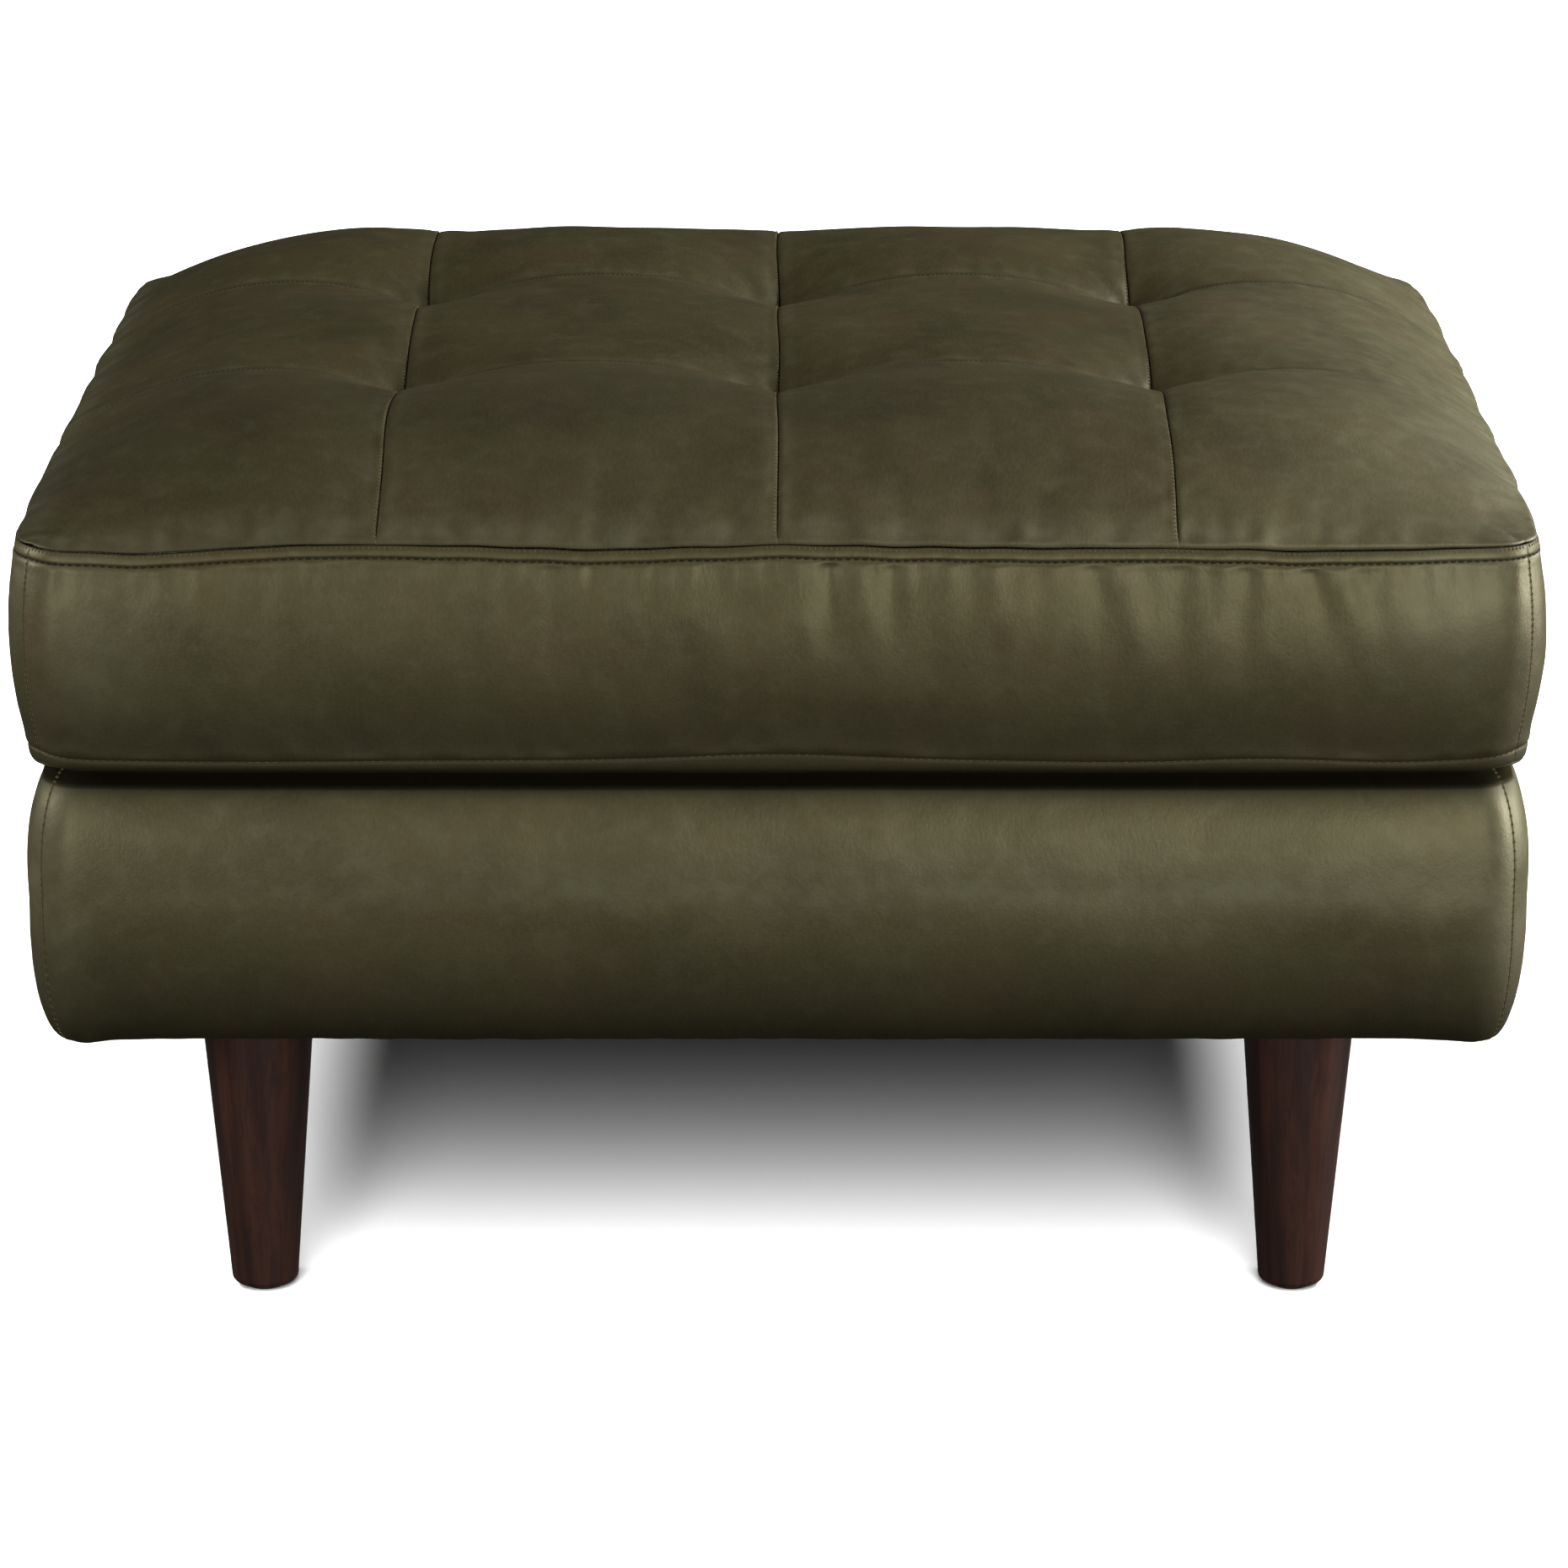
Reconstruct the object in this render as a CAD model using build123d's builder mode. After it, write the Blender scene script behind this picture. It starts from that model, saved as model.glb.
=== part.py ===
"""Tufted leather ottoman: a loose tufted cushion on a padded box base with four turned legs.

Origin: on the floor, under the middle of the ottoman. +X is to the right, +Y to the back, +Z up.
All sizes are in millimetres.
"""

from build123d import *
from math import cos, pi, sin
import os

# Driving sizes of the whole
seat_width = 752.0
seat_depth = 630.0
base_inset = 4.0
floor_to_base = 159.0

# Shared sheet goods and clearances
leather = 2.0
ease = 0.3
overrun = 20.0

# Frame
pad_wall = 34.0
rail_wall = 20.0
rail_height = 106.0
block_length = 100.0
block_width = 82.0
block_height = 28.0
stretcher_wall = 22.0
stretcher_height = 45.0
screw_radius = 2.5
screw_head_radius = 4.6
screw_head_height = 3.0
screw_length = 55.0
screw_ease = 0.05
screw_rise_shares = (0.25, 0.75)

# Webbing and deck
webbing_wall = 1.6
webbing_width = 50.0
webbing_setback = 5.0
long_strap_count = 5
cross_strap_count = 6
deck_pad_height = 28.0
deck_border = 66.0

# Base cover
base_corner_radius = 26.0
base_top_roll = 18.0
base_top_roll_height = 40.0
base_bottom_roll = 20.0
base_bottom_roll_height = 40.0
corner_tuck_share = 0.6
roll_step_count = 4
hem_width = 26.0
dust_cover_wall = 0.8

# Legs
leg_inset_x = 107.0
leg_inset_y = 88.0
leg_top_radius = 29.5
leg_foot_radius = 16.8
leg_foot_rounding = 3.5
leg_bolt_radius = 4.0
leg_bolt_depth = 42.0
bolt_ease = 0.05
tee_nut_radius = 5.5
tee_nut_flange_radius = 11.0
tee_nut_flange = 1.6
bolt_stand = 4.0
glide_radius = 11.0
glide_height = 2.6
glide_rounding = 1.6
glide_nail_radius = 1.3
glide_nail_length = 16.0

# Hook and loop tape
tape_wall = 1.0
tape_width = 25.0
tape_length = 300.0
tape_inset = 130.0

# Cushion
boxing_height = 112.6
boxing_corner_radius = 28.0
boxing_top_inset = 5.0
boxing_bottom_inset = 10.0
boxing_swell_share = 0.58
boxing_section_shares = (0.0, 0.14, 0.34, 0.58, 0.8, 1.0)

# Tufted top
column_count = 4
row_count = 3
column_pitch = 193.0
row_pitch = 206.0
edge_lift = 3.0
edge_crown = 0.6
panel_crest = 46.0
outer_panel_drop = 12.0
outer_row_drop = 8.0
outer_crest_share = 0.4
seam_crest = 38.0
row_seam_crest = 42.0
tuft_height = 22.0
station_shares = (0.0, 0.1, 0.26, 0.5, 0.74, 0.9, 1.0)
tie_radius = 0.9
tie_ease = 0.3
washer_radius = 13.0
washer_wall = 2.0

# Sizes that follow
base_width = seat_width - 2 * base_inset
base_depth = seat_depth - 2 * base_inset
frame_width = base_width - 2 * pad_wall
frame_depth = base_depth - 2 * pad_wall
frame_bottom = floor_to_base + leather + ease
rail_top = frame_bottom + rail_height
long_webbing_bottom = rail_top
cross_webbing_bottom = long_webbing_bottom + webbing_wall
pad_bottom = cross_webbing_bottom + webbing_wall
pad_top = pad_bottom + deck_pad_height
base_top = pad_top + ease + leather
cushion_bottom = base_top + 2 * tape_wall + ease
seam_z = cushion_bottom + boxing_height
core_bottom = cushion_bottom + leather + ease
core_top = seam_z - edge_lift - ease
topper_bottom = seam_z - edge_lift
top_width = seat_width - 2 * boxing_top_inset
top_depth = seat_depth - 2 * boxing_top_inset
leg_x = base_width / 2 - leg_inset_x
leg_y = base_depth / 2 - leg_inset_y
leg_top = frame_bottom - dust_cover_wall
dust_cover_bottom = frame_bottom - dust_cover_wall
block_top = frame_bottom + block_height
bolt_top = block_top + tee_nut_flange + bolt_stand
bolt_bottom = leg_top - leg_bolt_depth

SIDES = ("front", "right", "rear", "left")
CORNERS = {
    "front_left": (-1, -1),
    "front_right": (1, -1),
    "rear_left": (-1, 1),
    "rear_right": (1, 1),
}

os.makedirs("parts", exist_ok=True)


def save(piece, name):
    """Labels a finished piece and writes it under its own name."""
    piece.part.label = name
    export_step(piece.part, "parts/" + name + ".step")


# Padded boxes: shared by the base and the cushion's boxing


def base_profile():
    """Share of the base's height, and how far the cover is drawn in there: flat sides with rolled edges."""
    height = base_top - floor_to_base
    bottom = []
    top = []
    for step in range(roll_step_count + 1):
        angle = pi / 2 * step / roll_step_count
        bottom.append((base_bottom_roll_height * (1 - cos(angle)), base_bottom_roll * (1 - sin(angle))))
        top.append((height - base_top_roll_height * (1 - cos(angle)), base_top_roll * (1 - sin(angle))))
    return [(rise / height, inset) for rise, inset in bottom + top[::-1]]


def boxing_profile():
    """Share of the boxing's height, and how far it is drawn in there: a swell between two seams."""
    profile = []
    for share in boxing_section_shares:
        if share < boxing_swell_share:
            inset = boxing_bottom_inset * (1 - share / boxing_swell_share) ** 2
        else:
            inset = boxing_top_inset * ((share - boxing_swell_share) / (1 - boxing_swell_share)) ** 2
        profile.append((share, inset))
    return profile


def padded_block(width, depth, corner, bottom, top, profile, skin):
    """A block of rounded rectangles whose sides follow the profile, drawn in all round by skin."""
    with BuildPart() as block:
        for share, inset in profile:
            with BuildSketch(Plane.XY.offset(bottom + share * (top - bottom))):
                RectangleRounded(
                    width - 2 * (inset + skin),
                    depth - 2 * (inset + skin),
                    corner - corner_tuck_share * (inset + skin),
                )
        loft()
    return block.part


def mitre_wedge(side, width, depth, bottom, top):
    """The space that one side's panel may fill: all of it outside the mitre lines from the corners."""
    far_x = width / 2 + overrun
    far_y = depth / 2 + overrun
    reach = min(far_x, far_y) - overrun
    near_x = far_x - reach
    near_y = far_y - reach
    outlines = {
        "front": [(-far_x, -far_y), (far_x, -far_y), (near_x, -near_y), (-near_x, -near_y)],
        "right": [(far_x, -far_y), (far_x, far_y), (near_x, near_y), (near_x, -near_y)],
        "rear": [(far_x, far_y), (-far_x, far_y), (-near_x, near_y), (near_x, near_y)],
        "left": [(-far_x, far_y), (-far_x, -far_y), (-near_x, -near_y), (-near_x, near_y)],
    }
    with BuildPart() as wedge:
        with BuildSketch(Plane.XY.offset(bottom)):
            with BuildLine():
                Polyline(*outlines[side], close=True)
            make_face()
        extrude(amount=top - bottom)
    return wedge.part


def side_panel(ring, side, width, depth):
    """One side's share of a ring, cut at the mitres."""
    box = ring.bounding_box()
    wedge = mitre_wedge(side, width, depth, box.min.Z - overrun, box.max.Z + overrun)
    with BuildPart() as panel:
        add(ring)
        add(wedge, mode=Mode.INTERSECT)
    return panel


# Base cover, pads and deck


def base_block(skin):
    """The whole base as one padded block, drawn in all round by skin."""
    return padded_block(
        base_width,
        base_depth,
        base_corner_radius,
        floor_to_base + skin,
        base_top - skin,
        base_profile(),
        skin,
    )


def base_cover_ring():
    """The leather cover of the base: turned under at the hem and over the top edge to the deck cloth."""
    hem_reach = base_bottom_roll + hem_width
    with BuildPart() as cover:
        add(base_block(0))
        add(base_block(leather), mode=Mode.SUBTRACT)
        with BuildSketch(Plane.XY.offset(floor_to_base - overrun)):
            Rectangle(base_width - 2 * hem_reach, base_depth - 2 * hem_reach)
        extrude(amount=leather + 2 * overrun, mode=Mode.SUBTRACT)
        with BuildSketch(Plane.XY.offset(base_top - leather - overrun)):
            Rectangle(base_width - 2 * deck_border, base_depth - 2 * deck_border)
        extrude(amount=leather + 2 * overrun, mode=Mode.SUBTRACT)
    return cover.part


def side_pad_ring(padding):
    """The foam round the outside of the rails, up to the deck pad."""
    with BuildPart() as ring:
        add(padding)
        with BuildSketch(Plane.XY.offset(floor_to_base - overrun)):
            Rectangle(frame_width, frame_depth)
        extrude(amount=base_top - floor_to_base + 2 * overrun, mode=Mode.SUBTRACT)
        with BuildSketch(Plane.XY.offset(pad_bottom)):
            Rectangle(seat_width + overrun, seat_depth + overrun)
        extrude(amount=base_top - pad_bottom + overrun, mode=Mode.SUBTRACT)
    return ring.part


def deck_pad(padding):
    """The foam slab over the webbing, rolled over the rails at its edges."""
    with BuildPart() as pad:
        add(padding)
        with BuildSketch(Plane.XY.offset(floor_to_base - overrun)):
            Rectangle(seat_width + overrun, seat_depth + overrun)
        extrude(amount=pad_bottom - floor_to_base + overrun, mode=Mode.SUBTRACT)
    return pad


def deck_cloth():
    """The cloth panel under the cushion, let in flush with the leather border."""
    with BuildPart() as cloth:
        with BuildSketch(Plane.XY.offset(base_top - leather)):
            Rectangle(base_width - 2 * (deck_border + ease), base_depth - 2 * (deck_border + ease))
        extrude(amount=leather)
    return cloth


def dust_cover():
    """The thin sheet stapled under the frame, inside the leather hem, with a hole for each leg bolt."""
    inside_hem = base_bottom_roll + hem_width + ease
    with BuildPart() as sheet:
        with BuildSketch(Plane.XY.offset(dust_cover_bottom)):
            Rectangle(base_width - 2 * inside_hem, base_depth - 2 * inside_hem)
            with GridLocations(2 * leg_x, 2 * leg_y, 2, 2):
                Circle(leg_bolt_radius + bolt_ease, mode=Mode.SUBTRACT)
        extrude(amount=dust_cover_wall)
    return sheet


# Frame


def screw_rises():
    """How high each of a joint's screws sits above the frame's underside."""
    return [share * rail_height for share in screw_rise_shares]


def upright_face(x, y, sign):
    """The upright plane through (x, y) that faces the front (-1) or the back (1), with Z up in it."""
    return Plane(origin=(x, y, 0), x_dir=(-sign, 0, 0), z_dir=(0, sign, 0))


def long_rail(sign):
    """A front or rear rail, full width, counterbored for the screws into the side rails."""
    centre_y = sign * (frame_depth - rail_wall) / 2
    screw_x = (frame_width - rail_wall) / 2
    with BuildPart() as rail:
        with BuildSketch(Plane.XY.offset(frame_bottom)):
            with Locations((0, centre_y)):
                Rectangle(frame_width, rail_wall)
        extrude(amount=rail_height)
        spots = [(side * screw_x, frame_bottom + rise) for side in (-1, 1) for rise in screw_rises()]
        with Locations(upright_face(0, sign * frame_depth / 2, sign)):
            with Locations(*spots):
                CounterBoreHole(
                    screw_radius + screw_ease,
                    screw_head_radius + screw_ease,
                    screw_head_height,
                    rail_wall,
                )
    return rail


def side_rail(sign):
    """A left or right rail between the long ones, with pilot holes in its ends."""
    length = frame_depth - 2 * rail_wall
    centre_x = sign * (frame_width - rail_wall) / 2
    grip = screw_length - rail_wall + screw_ease
    with BuildPart() as rail:
        with BuildSketch(Plane.XY.offset(frame_bottom)):
            with Locations((centre_x, 0)):
                Rectangle(rail_wall, length)
        extrude(amount=rail_height)
        for end in (-1, 1):
            spots = [(0, frame_bottom + rise) for rise in screw_rises()]
            with Locations(upright_face(centre_x, end * length / 2, end)):
                with Locations(*spots):
                    Hole(screw_radius + screw_ease, grip)
    return rail


def rail_screws():
    """Eight flat-headed screws that hold the rails together."""
    screw_x = (frame_width - rail_wall) / 2
    with BuildPart() as screws:
        for end in (-1, 1):
            face = upright_face(0, end * frame_depth / 2, -end)
            spots = [(side * screw_x, frame_bottom + rise) for side in (-1, 1) for rise in screw_rises()]
            with BuildSketch(face):
                with Locations(*spots):
                    Circle(screw_head_radius)
            extrude(amount=screw_head_height)
            with BuildSketch(face):
                with Locations(*spots):
                    Circle(screw_radius)
            extrude(amount=screw_length)
    return screws


def corner_block(sign_x, sign_y):
    """A hardwood block in the frame's corner that takes one leg's bolt and tee nut."""
    centre_x = sign_x * (frame_width / 2 - rail_wall - block_length / 2)
    centre_y = sign_y * (frame_depth / 2 - rail_wall - block_width / 2)
    with BuildPart() as block:
        with BuildSketch(Plane.XY.offset(frame_bottom)):
            with Locations((centre_x, centre_y)):
                Rectangle(block_length, block_width)
            with Locations((sign_x * leg_x, sign_y * leg_y)):
                Circle(tee_nut_radius + bolt_ease, mode=Mode.SUBTRACT)
        extrude(amount=block_height)
    return block


def centre_stretcher():
    """The low cross-piece that keeps the long rails from spreading."""
    with BuildPart() as stretcher:
        with BuildSketch(Plane.XY.offset(frame_bottom)):
            Rectangle(stretcher_wall, frame_depth - 2 * rail_wall)
        extrude(amount=stretcher_height)
    return stretcher


def webbing(count, length, spread, along_x, bottom):
    """Elastic straps stretched over the rails, evenly spaced between the opposite rails."""
    pitch = spread / count
    with BuildPart() as straps:
        with BuildSketch(Plane.XY.offset(bottom)):
            if along_x:
                with GridLocations(pitch, pitch, 1, count):
                    Rectangle(length, webbing_width)
            else:
                with GridLocations(pitch, pitch, count, 1):
                    Rectangle(webbing_width, length)
        extrude(amount=webbing_wall)
    return straps


# Legs


def leg(sign_x, sign_y):
    """A turned, tapered leg, bored at the top for its bolt and at the foot for the glide's nail."""
    centre_x = sign_x * leg_x
    centre_y = sign_y * leg_y
    side_view = Plane(origin=(centre_x, centre_y, 0), x_dir=(1, 0, 0), z_dir=(0, -1, 0))
    with BuildPart() as turned:
        with BuildSketch(side_view):
            with BuildLine():
                Polyline(
                    (0, glide_height),
                    (leg_foot_radius, glide_height),
                    (leg_top_radius, leg_top),
                    (0, leg_top),
                    close=True,
                )
            make_face()
        revolve(axis=Axis((centre_x, centre_y, 0), (0, 0, 1)))
        foot_edge = turned.edges().filter_by(GeomType.CIRCLE).sort_by(Axis.Z)[0]
        fillet(foot_edge, leg_foot_rounding)
        with BuildSketch(Plane.XY.offset(leg_top)):
            with Locations((centre_x, centre_y)):
                Circle(leg_bolt_radius + bolt_ease)
        extrude(amount=-(leg_bolt_depth + bolt_ease), mode=Mode.SUBTRACT)
        with BuildSketch(Plane.XY.offset(glide_height)):
            with Locations((centre_x, centre_y)):
                Circle(glide_nail_radius + bolt_ease)
        extrude(amount=glide_nail_length + bolt_ease, mode=Mode.SUBTRACT)
    return turned


def glide(sign_x, sign_y):
    """The nail-on plastic glide that the leg stands on."""
    with BuildPart() as foot:
        with BuildSketch(Plane.XY):
            with Locations((sign_x * leg_x, sign_y * leg_y)):
                Circle(glide_radius)
        extrude(amount=glide_height)
        fillet(foot.edges().filter_by(GeomType.CIRCLE).sort_by(Axis.Z)[0], glide_rounding)
        with BuildSketch(Plane.XY.offset(glide_height)):
            with Locations((sign_x * leg_x, sign_y * leg_y)):
                Circle(glide_nail_radius)
        extrude(amount=glide_nail_length)
    return foot


def leg_bolts():
    """Four hanger bolts: wood thread down in the leg, machine thread up through the tee nut."""
    with BuildPart() as bolts:
        with BuildSketch(Plane.XY.offset(bolt_bottom)):
            with GridLocations(2 * leg_x, 2 * leg_y, 2, 2):
                Circle(leg_bolt_radius)
        extrude(amount=bolt_top - bolt_bottom)
    return bolts


def tee_nuts():
    """Four tee nuts: a barrel down in the corner block, and a flange on top of it."""
    with BuildPart() as nuts:
        with BuildSketch(Plane.XY.offset(block_top)):
            with GridLocations(2 * leg_x, 2 * leg_y, 2, 2):
                Circle(tee_nut_flange_radius)
                Circle(leg_bolt_radius + bolt_ease, mode=Mode.SUBTRACT)
        extrude(amount=tee_nut_flange)
        with BuildSketch(Plane.XY.offset(frame_bottom)):
            with GridLocations(2 * leg_x, 2 * leg_y, 2, 2):
                Circle(tee_nut_radius)
                Circle(leg_bolt_radius + bolt_ease, mode=Mode.SUBTRACT)
        extrude(amount=block_height)
    return nuts


# Cushion: boxing, core and underside


def cushion_block(bottom, top, skin):
    """The cushion below its edge seam as one padded block, drawn in at the sides by skin."""
    return padded_block(seat_width, seat_depth, boxing_corner_radius, bottom, top, boxing_profile(), skin)


def boxing_ring():
    """The leather wall round the cushion, swelled between its two seams."""
    with BuildPart() as ring:
        add(cushion_block(cushion_bottom, seam_z, 0))
        add(cushion_block(cushion_bottom, seam_z, leather), mode=Mode.SUBTRACT)
    return ring.part


def bottom_panel():
    """The flat panel that closes the cushion underneath."""
    inset = boxing_bottom_inset + leather + ease
    with BuildPart() as panel:
        with BuildSketch(Plane.XY.offset(cushion_bottom)):
            RectangleRounded(
                seat_width - 2 * inset,
                seat_depth - 2 * inset,
                boxing_corner_radius - corner_tuck_share * inset,
            )
        extrude(amount=leather)
    return panel


def tuft_points():
    """Where the column seams cross the row seams."""
    return [
        (column_pitch * (column - column_count / 2), row_pitch * (row - row_count / 2))
        for column in range(1, column_count)
        for row in range(1, row_count)
    ]


def foam_core():
    """The block of foam inside the boxing, drilled for the tuft ties and let in for their washers."""
    with BuildPart() as core:
        add(cushion_block(core_bottom, core_top, leather + ease))
        with BuildSketch(Plane.XY.offset(core_bottom)):
            with Locations(*tuft_points()):
                Circle(tie_radius + tie_ease)
        extrude(amount=core_top - core_bottom, mode=Mode.SUBTRACT)
        with BuildSketch(Plane.XY.offset(core_bottom)):
            with Locations(*tuft_points()):
                Circle(washer_radius + tie_ease)
        extrude(amount=washer_wall + tie_ease, mode=Mode.SUBTRACT)
    return core


# Tufted top


def column_edges():
    """X of each column seam, with the cushion's side edges first and last."""
    inner = [column_pitch * (column - column_count / 2) for column in range(1, column_count)]
    return [-top_width / 2, *inner, top_width / 2]


def row_edges():
    """Y of each row seam, with the cushion's front and rear edges first and last."""
    inner = [row_pitch * (row - row_count / 2) for row in range(1, row_count)]
    return [-top_depth / 2, *inner, top_depth / 2]


def swell(share, start, middle, end):
    """Rise along one panel: a sine arch over the straight line between its two ends."""
    chord = start + (end - start) * share
    return chord + (middle - (start + end) / 2) * sin(pi * share)


def seam_rise(column, row, share):
    """Height of a column seam (or side edge) above the edge seam, part of the way along a row."""
    if column in (0, column_count):
        return 0
    start = 0 if row == 0 else tuft_height
    end = 0 if row == row_count - 1 else tuft_height
    return swell(share, start, seam_crest, end)


def crest_rise(column, row, share):
    """Height of the middle of a panel above the edge seam, part of the way along a row."""
    outer = column in (0, column_count - 1)
    row_crest = row_seam_crest - outer_row_drop if outer else row_seam_crest
    middle = panel_crest - outer_panel_drop if outer else panel_crest
    start = 0 if row == 0 else row_crest
    end = 0 if row == row_count - 1 else row_crest
    return edge_crown + swell(share, start, middle, end)


def crest_x(column):
    """X of a panel's highest line: mid-width, but nearer the side edge in the outer columns."""
    left, right = column_edges()[column : column + 2]
    if column == 0:
        return left + outer_crest_share * (right - left)
    if column == column_count - 1:
        return right - outer_crest_share * (right - left)
    return (left + right) / 2


def panel_stations(row):
    """Y and share of each cross-section along a row."""
    start, end = row_edges()[row : row + 2]
    return [(start + share * (end - start), share) for share in station_shares]


def rounded_top(inset, bottom, top):
    """The upright space over the cushion's rounded outline, drawn in by inset."""
    with BuildPart() as space:
        with BuildSketch(Plane.XY.offset(bottom)):
            RectangleRounded(
                top_width - 2 * inset,
                top_depth - 2 * inset,
                boxing_corner_radius - corner_tuck_share * (boxing_top_inset + inset),
            )
        extrude(amount=top - bottom)
    return space.part


def top_panel(row, column):
    """One leather panel of the tufted top, lofted from a thin arched strip at each station."""
    left, right = column_edges()[column : column + 2]
    with BuildPart() as panel:
        for y, share in panel_stations(row):
            low = [
                (left, seam_z + seam_rise(column, row, share)),
                (crest_x(column), seam_z + crest_rise(column, row, share)),
                (right, seam_z + seam_rise(column + 1, row, share)),
            ]
            high = [(x, z + leather) for x, z in low]
            with BuildSketch(Plane.XZ.offset(-y)):
                with BuildLine():
                    ThreePointArc(*low)
                    Line(low[-1], high[-1])
                    ThreePointArc(*high[::-1])
                    Line(high[0], low[0])
                make_face()
        loft()
        if row in (0, row_count - 1) and column in (0, column_count - 1):
            add(rounded_top(0, seam_z - overrun, seam_z + panel_crest + overrun), mode=Mode.INTERSECT)
    return panel


def wadding_strip(row):
    """The fibre under one row of panels, lofted from a section with an arch for each column."""
    edges = column_edges()
    with BuildPart() as strip:
        for y, share in panel_stations(row):
            with BuildSketch(Plane.XZ.offset(-y)):
                with BuildLine():
                    for column in range(column_count):
                        left, right = edges[column : column + 2]
                        ThreePointArc(
                            (left, seam_z - ease + seam_rise(column, row, share)),
                            (crest_x(column), seam_z - ease + crest_rise(column, row, share)),
                            (right, seam_z - ease + seam_rise(column + 1, row, share)),
                        )
                    Polyline(
                        (edges[-1], seam_z - ease),
                        (edges[-1], topper_bottom),
                        (edges[0], topper_bottom),
                        (edges[0], seam_z - ease),
                    )
                make_face()
        loft()
    return strip.part


def topper():
    """The fibre layer that fills the tufted top, drilled for the tuft ties."""
    with BuildPart() as layer:
        for row in range(row_count):
            add(wadding_strip(row))
        outline = rounded_top(leather + ease, topper_bottom - overrun, seam_z + panel_crest + overrun)
        add(outline, mode=Mode.INTERSECT)
        with BuildSketch(Plane.XY.offset(topper_bottom)):
            with Locations(*tuft_points()):
                Circle(tie_radius + tie_ease)
        extrude(amount=tuft_height + edge_lift + overrun, mode=Mode.SUBTRACT)
    return layer


def tuft_ties():
    """Six ties, each from its washer under the foam up to the crossing of the seams."""
    with BuildPart() as ties:
        with BuildSketch(Plane.XY.offset(core_bottom + washer_wall)):
            with Locations(*tuft_points()):
                Circle(tie_radius)
        extrude(amount=seam_z + tuft_height - ease - core_bottom - washer_wall)
    return ties


def tuft_washers():
    """Six washers that anchor the ties under the foam."""
    with BuildPart() as washers:
        with BuildSketch(Plane.XY.offset(core_bottom)):
            with Locations(*tuft_points()):
                Circle(washer_radius)
        extrude(amount=washer_wall)
    return washers


def tape_strips(bottom):
    """Two strips of hook or loop tape, near the left and right edges."""
    with BuildPart() as strips:
        with BuildSketch(Plane.XY.offset(bottom)):
            with GridLocations(base_width - 2 * tape_inset, tape_length, 2, 1):
                Rectangle(tape_width, tape_length)
        extrude(amount=tape_wall)
    return strips


# Build and write every piece

save(long_rail(-1), "frame_front_rail")
save(long_rail(1), "frame_rear_rail")
save(side_rail(-1), "frame_left_rail")
save(side_rail(1), "frame_right_rail")
save(centre_stretcher(), "frame_centre_stretcher")
save(rail_screws(), "frame_screws")

webbing_span_x = frame_width - 2 * webbing_setback
webbing_span_y = frame_depth - 2 * webbing_setback
inner_span_x = frame_width - 2 * rail_wall
inner_span_y = frame_depth - 2 * rail_wall
save(webbing(long_strap_count, webbing_span_x, inner_span_y, True, long_webbing_bottom), "webbing_long")
save(webbing(cross_strap_count, webbing_span_y, inner_span_x, False, cross_webbing_bottom), "webbing_cross")

for corner, (sign_x, sign_y) in CORNERS.items():
    save(corner_block(sign_x, sign_y), "corner_block_" + corner)
    save(leg(sign_x, sign_y), "leg_" + corner)
    save(glide(sign_x, sign_y), "glide_" + corner)
save(leg_bolts(), "leg_bolts")
save(tee_nuts(), "leg_tee_nuts")

cover_ring = base_cover_ring()
padding = base_block(leather + ease)
pad_ring = side_pad_ring(padding)
boxing = boxing_ring()
for side in SIDES:
    save(side_panel(cover_ring, side, base_width, base_depth), "base_cover_" + side)
    save(side_panel(pad_ring, side, base_width, base_depth), "base_pad_" + side)
    save(side_panel(boxing, side, seat_width, seat_depth), "cushion_boxing_" + side)
save(deck_pad(padding), "deck_pad")
save(deck_cloth(), "deck_cloth")
save(dust_cover(), "dust_cover")
save(tape_strips(base_top), "hook_tape")

save(tape_strips(cushion_bottom - tape_wall), "loop_tape")
save(bottom_panel(), "cushion_bottom_panel")
save(foam_core(), "cushion_core")
save(topper(), "cushion_topper")
save(tuft_ties(), "tuft_ties")
save(tuft_washers(), "tuft_washers")
for row in range(row_count):
    for column in range(column_count):
        save(top_panel(row, column), f"top_panel_row{row + 1}_column{column + 1}")
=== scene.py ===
"""Tufted leather ottoman, dressed: leather covers, seams, stitches, padding, frame and legs, in a plain studio."""

import logging
import math
from dataclasses import dataclass, field
from enum import Enum

import bpy
import numpy as np
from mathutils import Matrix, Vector


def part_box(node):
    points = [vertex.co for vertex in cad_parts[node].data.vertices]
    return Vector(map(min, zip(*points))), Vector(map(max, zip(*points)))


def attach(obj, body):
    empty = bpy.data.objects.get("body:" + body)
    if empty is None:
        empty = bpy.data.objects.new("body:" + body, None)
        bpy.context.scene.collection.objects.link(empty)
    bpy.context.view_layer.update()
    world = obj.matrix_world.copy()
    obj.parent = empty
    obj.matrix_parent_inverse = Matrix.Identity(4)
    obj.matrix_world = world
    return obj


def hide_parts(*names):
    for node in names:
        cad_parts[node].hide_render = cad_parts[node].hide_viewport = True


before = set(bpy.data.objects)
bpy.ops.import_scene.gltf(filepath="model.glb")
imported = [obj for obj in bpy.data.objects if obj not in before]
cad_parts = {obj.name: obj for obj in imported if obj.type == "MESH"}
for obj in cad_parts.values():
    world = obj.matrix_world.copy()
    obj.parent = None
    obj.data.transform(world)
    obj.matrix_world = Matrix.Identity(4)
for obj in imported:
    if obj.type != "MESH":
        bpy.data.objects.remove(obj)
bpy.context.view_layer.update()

LOG = logging.getLogger("ottoman")
Grid = np.ndarray
Socket = bpy.types.NodeSocket

# Sizes shared by several pieces, in metres

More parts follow.
